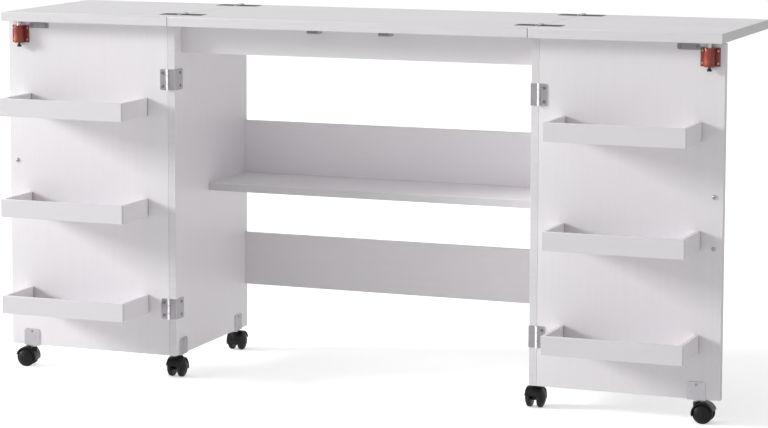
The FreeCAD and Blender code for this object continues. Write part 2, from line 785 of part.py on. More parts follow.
def spring():
    """Coil spring round the stem, from the housing's floor to the bolt's collar."""
    radius = number("spring_radius")
    wire = 2 * number("spring_wire_radius")
    bend = number("spring_bend")
    turns = int(number("spring_turns"))
    low = number("spring_floor + seat_gap")
    high = number("collar_bottom - seat_gap")
    rise = high - low - 2 * (wire + bend)
    base = low + wire + bend
    slope = rise / (FULL_TURN * turns)

    def spot(angle):
        return FreeCAD.Vector(radius * math.cos(angle), radius * math.sin(angle), base + slope * angle)

    def way(angle):
        return FreeCAD.Vector(-radius * math.sin(angle), radius * math.cos(angle), slope).normalize()

    half = FULL_TURN / 2
    last = FULL_TURN * turns
    foot = FreeCAD.Vector(radius, -bend, low + wire)
    head = FreeCAD.Vector(radius, bend, high - wire)
    edges = [Part.LineSegment(foot - ALONG_Z * wire, foot).toShape()]
    edges += biarc(foot, ALONG_Z, spot(0), way(0))
    for step in range(2 * turns):
        begin = step * half
        edges += biarc(spot(begin), way(begin), spot(begin + half), way(begin + half))
    edges += biarc(spot(last), way(last), head, ALONG_Z)
    edges.append(Part.LineSegment(head, head + ALONG_Z * wire).toShape())
    path = Part.Wire(Part.__sortEdges__(edges))
    print(f"spring least gap to itself {least_gap(path.discretize(Number=WIRE_SAMPLES), wire):.2f} mm")
    ring = Part.Wire(Part.Circle(foot - ALONG_Z * wire, ALONG_Z, wire / 2).toShape())
    item = doc.addObject("Part::Feature", "right_spring")
    item.Shape = path.makePipeShell([ring], True, False)
    return move(item, ("bolt_x", "bolt_y", "0"))


def build_bolts():
    """Spring bolts that lock the open doors under the leaves."""
    both_hands("latch_housing", latch_housing())
    both_hands("bolt", bolt())
    both_hands("knob", knob())
    both_hands("spring", spring())


# Caster, drawn about its kingpin on the floor with the wheels trailing towards +X
def caster_hood():
    """Arched hood over both wheels, with the web that carries kingpin and axle."""
    corners = [
        ("0", "-web_thickness / 2"),
        ("hood_inner", "-web_thickness / 2"),
        ("hood_inner", "-hood_crest"),
        ("hood_lip_radius", "-hood_lip"),
        ("hood_lip_radius", "-hood_lip - hood_wall"),
        ("hood_outer", "-hood_crest"),
        ("hood_outer", "hood_crest"),
        ("hood_lip_radius", "hood_lip + hood_wall"),
        ("hood_lip_radius", "hood_lip"),
        ("hood_inner", "hood_crest"),
        ("hood_inner", "web_thickness / 2"),
        ("0", "web_thickness / 2"),
    ]
    arch = turned("hood_arch", corners, sweep="hood_sweep")
    lean = FreeCAD.Rotation(ALONG_Y, -number("hood_lean"))
    arch.Placement = FreeCAD.Placement(FreeCAD.Vector(), lean.multiply(TURNS["y"]))
    move(arch, ("trail", "0", "wheel_radius"))
    hub = rod("hood_hub", ("trail", "-web_thickness / 2", "wheel_radius"), "hub_radius", "web_thickness", "y")
    boss = rod("hood_boss", ("0", "0", "wheel_radius"), "boss_radius", "boss_top - wheel_radius")
    axle_bore = rod("hood_axle_bore", ("trail", "-web_thickness / 2", "wheel_radius"),
                    "axle_radius + pin_clearance", "web_thickness", "y")
    pin_bore = rod("hood_pin_bore", ("0", "0", "kingpin_end - boss_gap"),
                   "kingpin_radius + pin_clearance", "boss_top - kingpin_end + boss_gap")
    return cut("caster_hood", fuse("hood_blank", arch, hub, boss), axle_bore, pin_bore)


def caster_wheels():
    """Two wheels with domed outer faces on one axle."""
    bore = "axle_radius + pin_clearance"
    corners = [
        (bore, "wheel_inner"),
        ("wheel_radius - tread_chamfer", "wheel_inner"),
        ("wheel_radius", "wheel_inner + tread_chamfer"),
        ("wheel_radius", "tread_edge"),
        ("0", "wheel_outer"),
        ("0", "wheel_outer - axle_cover"),
        (bore, "wheel_outer - axle_cover"),
    ]
    wheel = turned("caster_wheel", corners, {3: ("0", "wheel_outer - dome_radius", "dome_radius")})
    wheel.Placement = FreeCAD.Placement(FreeCAD.Vector(), TURNS["y"])
    move(wheel, ("trail", "0", "wheel_radius"))
    end = "wheel_outer - axle_cover - seat_gap"
    axle = rod("caster_axle", ("trail", f"-({end})", "wheel_radius"), "axle_radius", f"2 * ({end})", "y")
    return group("caster_wheels", wheel, mirror("caster_far_wheel", wheel, (0, 1, 0)), axle)


def caster_bracket():
    """Channel that straddles the foot of a panel, and the kingpin in its bored base."""
    corners = [
        ("-bracket_half", "bracket_bottom"),
        ("bracket_half", "bracket_bottom"),
        ("bracket_half", "floor_gap + bracket_height"),
        ("panel_thickness / 2", "floor_gap + bracket_height"),
        ("panel_thickness / 2", "floor_gap"),
        ("-panel_thickness / 2", "floor_gap"),
        ("-panel_thickness / 2", "floor_gap + bracket_height"),
        ("-bracket_half", "floor_gap + bracket_height"),
    ]
    channel = padded("bracket_channel", "YZ_Plane", corners, "bracket_width")
    top = number("floor_gap + bracket_height")
    rounded(channel, "bracket_corner_radius",
            lambda edge: runs_along(edge, ALONG_Y) and abs(edge.CenterOfMass.z - top) < SAME_PLACE)
    seat = rod("bracket_pin_seat", ("0", "0", "bracket_bottom"), "kingpin_radius + pin_clearance",
               "bracket_plate")
    kingpin = rod("bracket_kingpin", ("0", "0", "kingpin_end"), "kingpin_radius",
                  "kingpin_length + bracket_plate")
    return group("caster_bracket", cut("bracket_bored", channel, seat), kingpin)


CASTERS = {
    "left_front": (("-side_mid_x", "front_caster_y"), -90),
    "left_rear": (("-side_mid_x", "rear_caster_y"), 90),
    "right_front": (("side_mid_x", "front_caster_y"), -90),
    "right_rear": (("side_mid_x", "rear_caster_y"), 75),
    "left_door": (("-door_caster_x", "door_mid_y"), 187),
    "right_door": (("door_caster_x", "door_mid_y"), 0),
}
SIDE_PANEL_TURN = 90


def build_casters():
    """Six brackets, each with a swivelling hood and a pair of wheels."""
    bracket = caster_bracket()
    hood = caster_hood()
    wheels = caster_wheels()
    side_brackets = []
    for place, ((across, along), heading) in CASTERS.items():
        spot = (across, along, "0")
        if place.endswith("door"):
            node(f"{place}_bracket", copy(f"{place}_bracket", bracket, spot))
        else:
            side_brackets.append(copy(f"{place}_bracket", bracket, spot, SIDE_PANEL_TURN))
        node(f"{place}_caster_hood", copy(f"{place}_caster_hood", hood, spot, heading))
        node(f"{place}_caster_wheels", copy(f"{place}_caster_wheels", wheels, spot, heading))
    node("cabinet_caster_brackets", group("cabinet_caster_brackets", *side_brackets))


def write_parts():
    """Check every object and write each sub-part to its own file."""
    sheet.clear(SCRATCH_CELL)
    doc.recompute()
    for item in doc.Objects:
        if "Invalid" in item.State or "Error" in item.State:
            raise ValueError(f"{item.Name} did not build")
    os.makedirs("parts", exist_ok=True)
    for name, item in NODES.items():
        solids = item.Shape.Solids
        if not solids or not item.Shape.isValid():
            raise ValueError(f"{name} has no sound solid")
        shape = solids[0] if len(solids) == 1 else Part.makeCompound(solids)
        shape.exportStep(f"parts/{name}.step")
        print(f"{name}: {len(solids)} solids, {shape.Volume / 1000:.1f} cm3")


build_worktop()
build_cabinet()
build_door_hinges()
build_doors()
build_catches()
build_bolts()
build_casters()
write_parts()
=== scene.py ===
"""Looks of a folding sewing and cutting table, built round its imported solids.

Metres, in the part's own frame: +X right, -Y towards the person at the table, +Z up, and the
floor at zero.
"""
import json
import logging
import math
from dataclasses import dataclass
from enum import Enum
from typing import Iterable, Sequence

import bmesh
import bpy
from mathutils import Matrix, Vector
from mathutils.geometry import tessellate_polygon


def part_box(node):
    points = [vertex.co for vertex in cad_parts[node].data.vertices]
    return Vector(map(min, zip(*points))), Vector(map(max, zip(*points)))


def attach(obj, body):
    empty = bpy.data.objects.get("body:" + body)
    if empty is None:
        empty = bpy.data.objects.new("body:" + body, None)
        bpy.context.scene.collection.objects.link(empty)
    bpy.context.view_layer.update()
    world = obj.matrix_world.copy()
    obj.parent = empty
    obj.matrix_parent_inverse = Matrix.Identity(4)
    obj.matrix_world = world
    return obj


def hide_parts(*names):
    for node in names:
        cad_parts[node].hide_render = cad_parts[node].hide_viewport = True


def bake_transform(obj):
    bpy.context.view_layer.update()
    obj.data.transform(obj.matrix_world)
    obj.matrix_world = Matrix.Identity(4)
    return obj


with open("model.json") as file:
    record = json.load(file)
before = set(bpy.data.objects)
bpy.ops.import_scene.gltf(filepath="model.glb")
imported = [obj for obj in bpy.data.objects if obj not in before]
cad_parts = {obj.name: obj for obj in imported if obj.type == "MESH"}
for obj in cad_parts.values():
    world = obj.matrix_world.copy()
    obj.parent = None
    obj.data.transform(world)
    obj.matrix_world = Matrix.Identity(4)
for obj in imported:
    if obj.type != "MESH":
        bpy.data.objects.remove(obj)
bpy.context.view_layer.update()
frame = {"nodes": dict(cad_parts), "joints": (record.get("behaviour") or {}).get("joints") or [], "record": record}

LOG = logging.getLogger("cutting_table")
MM = 0.001
RECORD = frame["record"]
BODY_OF = {node: body for body, nodes in RECORD["behaviour"]["bodies"].items() for node in nodes}
JOINTS = {joint["name"]: joint for joint in frame["joints"]}
SWIVEL = "_caster_swivel"
CASTERS = [name.removesuffix(SWIVEL) for name in JOINTS if name.endswith(SWIVEL)]

Colour = tuple[float, float, float]
Outline = list[tuple[float, float]]
Spot = tuple[float, float, float]
Pairs = tuple[tuple[float, float], ...]
Values = dict[str, float | Sequence[float]]
Socket = bpy.types.NodeSocket

UP = Vector((0, 0, 1))
TOWARDS_RIGHT = Vector((1, 0, 0))
TOWARDS_FRONT = Vector((0, -1, 0))
TOWARDS_BACK = Vector((0, 1, 0))
AXLE_TURN = Matrix.Rotation(-math.pi / 2, 4, "X")
FAR_AXLE_TURN = Matrix.Rotation(math.pi / 2, 4, "X")
UPSIDE_DOWN = Matrix.Rotation(math.pi, 4, "X")
WHITE = (1.0, 1.0, 1.0, 1.0)


class Hand(Enum):
    """Side of the table, valued by its sign along X."""

    LEFT = -1
    RIGHT = 1

    def name_of(self, thing: str) -> str:
        """Name of this side's node, body or joint."""
        return f"{self.name.lower()}_{thing}"


class Grain(Enum):
    """Run of a finish's figure, valued by how it is stretched along X, Y and Z."""

    EVEN = (1.0, 1.0, 1.0)
    ALONG_X = (0.06, 1.0, 1.0)
    ALONG_Z = (1.0, 1.0, 0.06)
    STREAK = (0.08, 0.08, 1.0)
    CHIPS = (0.5, 1.0, 1.4)
    SWIRL = (1.0, 1.0, 0.3)


class Face(Enum):
    """Kinds of face on an eased form, valued by their place among the piece's finishes."""

    MAIN = 0
    EASED = 1
    BAND = 2
    CORE = 3
    FRONT = 4
    ROUND = 5


@dataclass(frozen=True)
class Noise:
    """Noise with some cells in a metre and octaves of detail, drawn out along the grain or not."""

    scale: float
    detail: float
    drawn: bool = False


def shade(colour: Colour, factor: float) -> Colour:
    """Colour made lighter or darker by a factor."""
    return tuple(min(1.0, part * factor) for part in colour)


def settle(node: bpy.types.Node, **values: float | Sequence[float]) -> None:
    """Set constants on a node's own sockets, named with underscores for spaces."""
    for name, value in values.items():
        node.inputs[name.replace("_", " ")].default_value = value


class Graph:
    """Shader nodes of a material or world, wired by short calls."""

    def __init__(self, owner: bpy.types.Material | bpy.types.World) -> None:
        """Take up the nodes of a new material or world."""
        owner.use_nodes = True
        self.nodes, self.links = owner.node_tree.nodes, owner.node_tree.links

    def wire(self, source: Socket, target: Socket) -> None:
        """Link one socket to another."""
        self.links.new(source, target)

    def node(self, kind: str, **values: float | Sequence[float]) -> bpy.types.Node:
        """New node with constants on its sockets.

        Args:
            kind: Kind of shader node.
            values: Constants by the socket's name, with underscores for spaces.

        Returns:
            The node.
        """
        made = self.nodes.new(f"ShaderNode{kind}")
        settle(made, **values)
        return made

    def seen(self) -> Socket:
        """Tell what is seen straight, in a reflection or through plastic from other light.

        Returns:
            Socket that is one for what is seen.
        """
        path = self.node("LightPath")
        value = path.outputs["Is Camera Ray"]
        for name in ("Is Glossy Ray", "Is Transmission Ray"):
            either = self.node("Math")
            either.operation = "MAXIMUM"
            self.wire(value, either.inputs[0])
            self.wire(path.outputs[name], either.inputs[1])
            value = either.outputs["Value"]
        return value


class Surface(Graph):
    """Nodes of one material round its principled shader."""

    noise_low: float = 0.3
    noise_high: float = 0.7

    def __init__(self, name: str, grain: Grain = Grain.EVEN) -> None:
        """Start a material with one principled shader.

        Args:
            name: Name of the material.
            grain: Run of the noises that are drawn out.
        """
        self.material = bpy.data.materials.new(name)
        super().__init__(self.material)
        self.grain = grain
        self.shader = self.nodes["Principled BSDF"]
        self.coords = self.node("TexCoord").outputs["Object"]
        self.noises: dict[Noise, Socket] = {}

    def feed(self, socket: str, source: Socket) -> None:
        """Link a source to one of the shader's sockets."""
        self.wire(source, self.shader.inputs[socket])

    def read(self, noise: Noise) -> Socket:
        """Noise over the object's own coordinates, made once.

        Args:
            noise: The noise.

        Returns:
            The noise's value socket.
        """
        if noise not in self.noises:
            stretch = (self.grain if noise.drawn else Grain.EVEN).value
            mapping = self.node("Mapping", Scale=stretch)
            texture = self.node("TexNoise", Scale=noise.scale, Detail=noise.detail)
            self.wire(self.coords, mapping.inputs["Vector"])
            self.wire(mapping.outputs["Vector"], texture.inputs["Vector"])
            self.noises[noise] = texture.outputs["Fac"]
        return self.noises[noise]

    def tones(self, noise: Noise, colour: Colour, stops: Pairs) -> Socket:
        """Tones of one colour, picked off a ramp by a noise.

        Args:
            noise: Noise that picks the place on the ramp.
            colour: The colour.
            stops: Place of each stop and its factor on the colour, in order.

        Returns:
            The ramp's colour socket.
        """
        ramp = self.node("ValToRGB")
        elements = ramp.color_ramp.elements
        while len(elements) < len(stops):
            elements.new(0.5)
        for element, (place, factor) in zip(elements, stops):
            element.position = place
            element.color = (*shade(colour, factor), 1.0)
        self.wire(self.read(noise), ramp.inputs["Fac"])
        return ramp.outputs["Color"]

    def gloss(self, noise: Noise, smooth: float, rough: float) -> None:
        """Vary the roughness with a noise.

        Args:
            noise: The noise.
            smooth: Roughness where the noise is low.
            rough: Roughness where the noise is high.
        """
        spread = self.node("MapRange", From_Min=self.noise_low, From_Max=self.noise_high,
                           To_Min=smooth, To_Max=rough)
        self.wire(self.read(noise), spread.inputs["Value"])
        self.feed("Roughness", spread.outputs["Result"])

    def relief(self, noise: Noise, depth: float) -> None:
        """Raise the surface with a noise.

        Args:
            noise: The noise.
            depth: Most that the surface rises.
        """
        bump = self.node("Bump", Distance=depth)
        self.wire(self.read(noise), bump.inputs["Height"])
        self.feed("Normal", bump.outputs["Normal"])

    def nearness(self, place: Spot, reach: float) -> Socket:
        """Value that falls from one at a place to zero at a reach from it.

        Args:
            place: The place.
            reach: Distance at which nothing is left.

        Returns:
            The value's socket.
        """
        distance = self.node("VectorMath")
        distance.operation = "DISTANCE"
        distance.inputs[1].default_value = place
        fall = self.node("MapRange", From_Max=reach, To_Min=1.0, To_Max=0.0)
        fall.interpolation_type = "SMOOTHSTEP"
        self.wire(self.coords, distance.inputs[0])
        self.wire(distance.outputs["Value"], fall.inputs["Value"])
        return fall.outputs["Result"]


@dataclass(frozen=True)
class Finish:
    """Surface finish under one material name; each kind has noises of its own.

    The figure picks a tone of the colour, the sheen a roughness between smooth and rough, and
    the texture raises the surface by up to its depth.
    """

    name: str
    colour: Colour
    grain: Grain
    figure: Noise
    stops: Pairs
    sheen: Noise
    smooth: float
    rough: float
    texture: Noise
    depth: float
    shine: float = 0.5

    def tint(self, surface: Surface) -> Socket:
        """Socket of the colour with its figure."""
        return surface.tones(self.figure, self.colour, self.stops)

    def constants(self) -> Values:
        """Constants on the shader's own sockets."""
        return {"Specular_IOR_Level": self.shine}

    def material(self) -> bpy.types.Material:
        """Make the material of this finish, once.

        Returns:
            The material.
        """
        made = bpy.data.materials.get(self.name)
        if made is None:
            surface = Surface(self.name, self.grain)
            surface.feed("Base Color", self.tint(surface))
            surface.gloss(self.sheen, self.smooth, self.rough)
            surface.relief(self.texture, self.depth)
            settle(surface.shader, **self.constants())
            made = surface.material
        return made


@dataclass(frozen=True)
class Laminate(Finish):
    """White melamine face with a faint grain and a fine pebble."""

    grain: Grain = Grain.ALONG_X
    figure: Noise = Noise(120, 7, drawn=True)
    stops: Pairs = ((0.32, 0.988), (0.52, 1.0), (0.7, 1.008))
    sheen: Noise = Noise(60, 4, drawn=True)
    smooth: float = 0.36
    rough: float = 0.5
    texture: Noise = Noise(1500, 2)
    depth: float = 0.02 * MM
    shine: float = 0.42


@dataclass(frozen=True)
class EdgeBand(Finish):
    """Thin strip glued on a board's edges, glossier than the faces, with a drawn streak."""

    grain: Grain = Grain.STREAK
    figure: Noise = Noise(160, 5, drawn=True)
    stops: Pairs = ((0.3, 0.955), (0.6, 1.0))
    sheen: Noise = Noise(240, 3)
    smooth: float = 0.3
    rough: float = 0.44
    texture: Noise = Noise(700, 2)
    depth: float = 0.025 * MM


@dataclass(frozen=True)
class EasedEdge(Finish):
    """Trimmed corner between face and edge band, with sparse nicks rubbed grey."""

    grain: Grain = Grain.EVEN
    figure: Noise = Noise(420, 4)
    stops: Pairs = ((0.26, 0.72), (0.36, 0.93), (0.5, 1.0))
    sheen: Noise = Noise(300, 3)
    smooth: float = 0.4
    rough: float = 0.58
    texture: Noise = Noise(420, 4)
    depth: float = 0.06 * MM


@dataclass(frozen=True)
class ChipCore(Finish):
    """Raw particle board inside the routed pockets, with chips of several browns."""

    grain: Grain = Grain.CHIPS
    figure: Noise = Noise(520, 5, drawn=True)
    stops: Pairs = ((0.3, 0.5), (0.5, 1.0), (0.66, 1.5))
    sheen: Noise = Noise(520, 5, drawn=True)
    smooth: float = 0.8
    rough: float = 0.95
    texture: Noise = Noise(520, 5, drawn=True)
    depth: float = 0.4 * MM


@dataclass(frozen=True)
class PlatedSteel(Finish):
    """Plated pressed steel with a brush drawn along the grain and a mottled plating."""

    grain: Grain = Grain.ALONG_Z
    figure: Noise = Noise(70, 4)
    stops: Pairs = ((0.3, 0.95), (0.5, 1.0), (0.72, 1.04))
    sheen: Noise = Noise(900, 4, drawn=True)
    smooth: float = 0.26
    rough: float = 0.42
    texture: Noise = Noise(900, 4, drawn=True)
    depth: float = 0.004 * MM
    rim: float = 1.0

    def constants(self) -> Values:
        """Constants of a metal, with the strength of its reflection at a glancing angle."""
        return {"Metallic": 1.0, "Specular_Tint": (self.rim, self.rim, self.rim, 1.0)}


@dataclass(frozen=True)
class Moulded(Finish):
    """Opaque moulded plastic with flow marks, dust and a fine spark-eroded texture."""

    grain: Grain = Grain.EVEN
    figure: Noise = Noise(130, 5)
    stops: Pairs = ((0.34, 0.82), (0.55, 1.0))
    sheen: Noise = Noise(420, 3)
    smooth: float = 0.3
    rough: float = 0.45
    texture: Noise = Noise(2600, 2)
    depth: float = 0.02 * MM
    dust: float = 1.6
    dust_stop: float = 0.78

    def tint(self, surface: Surface) -> Socket:
        """Socket of the colour with its flow marks and dust."""
        stops = (*self.stops, (self.dust_stop, self.dust))
        return surface.tones(self.figure, self.colour, stops)


@dataclass(frozen=True)
class Translucent(Finish):
    """Translucent moulded plastic with swirls of dye, and a painted pool of light round one spot."""

    grain: Grain = Grain.SWIRL
    figure: Noise = Noise(90, 2, drawn=True)
    stops: Pairs = ((0.3, 0.75), (0.5, 1.0), (0.7, 1.3))
    sheen: Noise = Noise(500, 2)
    smooth: float = 0.12
    rough: float = 0.24
    texture: Noise = Noise(300, 3)
    depth: float = 0.03 * MM
    # Colour, place and reach of a painted pool of light mixed into the dye.
    glow: Colour = (0.75, 0.16, 0.03)
    painted_light_place: Spot = (0.0, 0.0, 0.0)
    painted_light_reach: float = 9 * MM
    clearness: float = 0.45
    bend: float = 1.49

    def tint(self, surface: Surface) -> Socket:
        """Mix a painted pool of light into the swirls of dye.

        Args:
            surface: Surface that is wired.

        Returns:
            The colour's socket.
        """
        blend = surface.node("Mix")
        blend.data_type = "RGBA"
        blend.inputs["B"].default_value = (*self.glow, 1.0)
        surface.wire(surface.nearness(self.painted_light_place, self.painted_light_reach), blend.inputs["Factor"])
        surface.wire(super().tint(surface), blend.inputs["A"])
        return blend.outputs["Result"]

    def constants(self) -> Values:
        """Constants that let light through."""
        return {"Transmission_Weight": self.clearness, "IOR": self.bend}


@dataclass(frozen=True)
class Ferrite(Finish):
    """Sintered magnet, dark and gritty."""

    grain: Grain = Grain.EVEN
    figure: Noise = Noise(1300, 4)
    stops: Pairs = ((0.3, 0.6), (0.6, 1.0), (0.75, 1.7))
    sheen: Noise = Noise(1300, 4)
    smooth: float = 0.5
    rough: float = 0.75
    texture: Noise = Noise(1300, 4)
    depth: float = 0.05 * MM


# One white melamine and its edge band for every board. The factors make lighter and darker copies of it that paint
# in light and shade: lighter on the side panels, tray ends and floors, shelf and upper back; darker on the
# worktop, doors, tray fronts, rail, lower back and the edge bands of worktop, doors and side panels; darkest, as
# painted shade, on the inner boards' edge bands and the worktop's end bands.
BOARD_WHITE: Colour = (0.81, 0.787, 0.81)
FACE_TOP = Laminate("worktop_face", shade(BOARD_WHITE, 0.88))
FACE_DOOR = Laminate("door_face", shade(BOARD_WHITE, 0.945), Grain.ALONG_Z)
FACE_SIDE = Laminate("side_panel_face", shade(BOARD_WHITE, 1.15), Grain.ALONG_Z)
FACE_TRAY = Laminate("tray_face", shade(BOARD_WHITE, 1.14))
FACE_TRAY_FRONT = Laminate("tray_front_face", shade(BOARD_WHITE, 0.85))
FACE_INNER = Laminate("shelf_face", shade(BOARD_WHITE, 1.12))
FACE_RAIL = Laminate("rail_face", shade(BOARD_WHITE, 0.92))
BAND = EdgeBand("board_edge_band", shade(BOARD_WHITE, 0.86))
BAND_INNER = EdgeBand("inner_edge_band", shade(BOARD_WHITE, 0.76))
BAND_END = EdgeBand("leaf_end_band", shade(BOARD_WHITE, 0.7))
BAND_TRAY = EdgeBand("tray_edge_band", shade(BOARD_WHITE, 1.0))
EASE = EasedEdge("board_eased_edge", shade(BOARD_WHITE, 0.97))
CORE = ChipCore("board_chip_core", (0.30, 0.20, 0.12))
ZINC = PlatedSteel("zinc_plate", (0.3, 0.286, 0.304))
# Lighter, smoother copy of the zinc for eased edges.
ZINC_LIGHTER_EDGE = PlatedSteel("zinc_plate_rubbed_edge", (0.62, 0.60, 0.62), smooth=0.2, rough=0.32)
# Far lighter copy of the zinc for the hinge barrels and curved faces: a painted highlight.
ZINC_PAINTED_HIGHLIGHT = PlatedSteel("zinc_plate_barrel", (0.86, 0.85, 0.86), smooth=0.3)
DULL_ZINC = PlatedSteel("dull_zinc_plate", (0.18, 0.172, 0.185), rough=0.46)
PALE_ZINC = PlatedSteel("pale_zinc_plate", (0.424, 0.412, 0.436), smooth=0.36, rough=0.44)
DARK_NICKEL = PlatedSteel("dark_nickel", (0.17, 0.165, 0.17), Grain.ALONG_X,
                          smooth=0.4, rough=0.55, rim=0.2)
# Lighter copy of the dark nickel for the flap hinge barrels and curved faces: a painted highlight.
NICKEL_PAINTED_HIGHLIGHT = PlatedSteel("dark_nickel_barrel", (0.5, 0.49, 0.5), Grain.ALONG_X,
                            smooth=0.3, rough=0.4)
# Slightly lighter copy of the dark nickel for eased edges.
DARK_NICKEL_LIGHTER_EDGE = PlatedSteel("dark_nickel_rubbed_edge", (0.2, 0.195, 0.2),
                                 smooth=0.3, rough=0.45, rim=0.3)
BRIGHT_STEEL = PlatedSteel("bright_steel", (0.66, 0.65, 0.64), smooth=0.16, rough=0.3)
SATIN_NICKEL = PlatedSteel("satin_nickel", (0.55, 0.54, 0.52), smooth=0.28, rough=0.4)
SCREW_STEEL = PlatedSteel("screw_steel", (0.15, 0.145, 0.15), Grain.EVEN, smooth=0.25, rough=0.4)
BRIGHT_SCREW = PlatedSteel("bright_screw_steel", (0.4, 0.385, 0.38), Grain.EVEN,
                           smooth=0.22, rough=0.34)
BOLT_STEEL = PlatedSteel("bolt_steel", (0.36, 0.34, 0.33), smooth=0.22, rough=0.36)
RED_DYE: Colour = (0.38, 0.042, 0.02)
KNOB_BLACK = Moulded("knob_black", (0.014, 0.014, 0.015))
CATCH_GREY = Moulded("catch_grey", (0.44, 0.42, 0.44), smooth=0.4, rough=0.55, dust=1.1)
HOOD_BLACK = Moulded("hood_nylon", (0.008, 0.0078, 0.0085), smooth=0.28, rough=0.42, shine=0.2)
WHEEL_BLACK = Moulded("wheel_nylon", (0.009, 0.0088, 0.0095), smooth=0.34, rough=0.5, shine=0.2)
TREAD_BLACK = Moulded("wheel_tread", (0.018, 0.0175, 0.0175), smooth=0.5, rough=0.7, shine=0.2,
                      dust=2.2)
MAGNET = Ferrite("ferrite", (0.24, 0.228, 0.24))
# Each hinge takes plate, eased edges, then curved faces in a painted highlight.
FLAP_HINGE = (DARK_NICKEL, DARK_NICKEL_LIGHTER_EDGE, NICKEL_PAINTED_HIGHLIGHT)
DOOR_HINGE = (ZINC, ZINC_LIGHTER_EDGE, ZINC_PAINTED_HIGHLIGHT)

EASED_STEPS = 2
EASED_PROFILE = 0.5
SMOOTH_ANGLE = math.radians(30)  # an edge bent further is eased
CRISP_ANGLE = math.radians(50)  # an edge bent further stays crisp in the shading
FLAT_ANGLE = math.radians(0.6)  # faces bent less are one flat face
SQUARE_ON = 0.9  # share of a normal along an axis that makes the face square to it
WELD = 1e-6
ENDS = (-1, 1)


def aimed(place: Sequence[float], direction: Vector, spin: float = 0.0) -> Matrix:
    """Place whose Z axis points in a direction, with a spin about it in radians."""
    turn = direction.to_track_quat("Z", "Y").to_matrix().to_4x4()
    return Matrix.Translation(Vector(place)) @ turn @ Matrix.Rotation(spin, 4, "Z")


def arc(centre: tuple[float, float], radius: float, first: float, last: float,
        steps: int = 6) -> Outline:
    """Points along a circular arc.

    Args:
        centre: Middle of the circle.
        radius: Radius of the circle.
        first: Angle of the first point, in degrees.
        last: Angle of the last point, in degrees.
        steps: Stretches between the points.

    Returns:
        The points, both ends included.
    """
    angles = [math.radians(first + (last - first) * step / steps) for step in range(steps + 1)]
    return [(centre[0] + radius * math.cos(angle), centre[1] + radius * math.sin(angle))
            for angle in angles]


def round_rectangle(width: float, height: float, radius: float) -> Outline:
    """Outline of a rectangle with round corners, about its own middle.

    Args:
        width: Size along the first axis.
        height: Size along the second axis.
        radius: Radius of the corners.

    Returns:
        The outline.
    """
    across = width / 2 - radius
    along = height / 2 - radius
    points: Outline = []
    for quarter, (side, end) in enumerate(((1, 1), (-1, 1), (-1, -1), (1, -1))):
        points += arc((side * across, end * along), radius, quarter * 90, quarter * 90 + 90)
    return points


def rod(radius: float, low: float, high: float) -> Outline:
    """Half section of a plain rod between two levels."""
    return [(0.0, low), (radius, low), (radius, high), (0.0, high)]


def circle(sides: int) -> list[float]:
    """Angles of the corners of a circle, in radians."""
    return [2 * math.pi * side / sides for side in range(sides)]


def mark(faces: Iterable[bmesh.types.BMFace], kind: Face) -> None:
    """Give faces a kind."""
    for face in faces:
        face.material_index = kind.value


def skin(part: bmesh.types.BMesh, rings: Sequence[Sequence[bmesh.types.BMVert]],
         closed: bool = True, smooth: bool = False) -> None:
    """Faces between each row of corners and the next.

    Args:
        part: Form that gets the faces.
        rings: Rows of corners, all of one length.
        closed: Whether a row runs back to its first corner.
        smooth: Whether the faces are shaded smooth.
    """
    for ring, following in zip(rings, rings[1:]):
        for here in range(len(ring) if closed else len(ring) - 1):
            after = (here + 1) % len(ring)
            corners = (ring[here], ring[after], following[after], following[here])
            part.faces.new(corners).smooth = smooth


@dataclass(frozen=True)
class Screw:
    """Cross-head screw; crown and cross are shares of its radius and rise."""

    radius: float
    rise: float
    sunk: float = 0.6 * MM
    sides: int = 28
    crown: Pairs = ((1.0, 0.35), (0.94, 0.62), (0.8, 0.86), (0.64, 1.0))
    arm: float = 0.52
    arm_half: float = 0.13
    cross_taper: float = 0.7
    cross_depth: float = 0.55

    def profile(self) -> Outline:
        """Half section of the head, from its foot to its crown."""
        crown = [(self.radius * out, self.rise * up) for out, up in self.crown]
        return [(self.radius, -self.sunk), *crown]

    def cross(self) -> Outline:
        """Mouth of the cross, one arm after the other.

        Returns:
            The outline.
        """
        arm = self.arm * self.radius
        half = self.arm_half * self.radius
        corners = [(arm, half), (half, half), (half, arm)]
        points: Outline = []
        for _ in range(4):
            points += corners
            corners = [(-y, x) for x, y in corners]
        return points


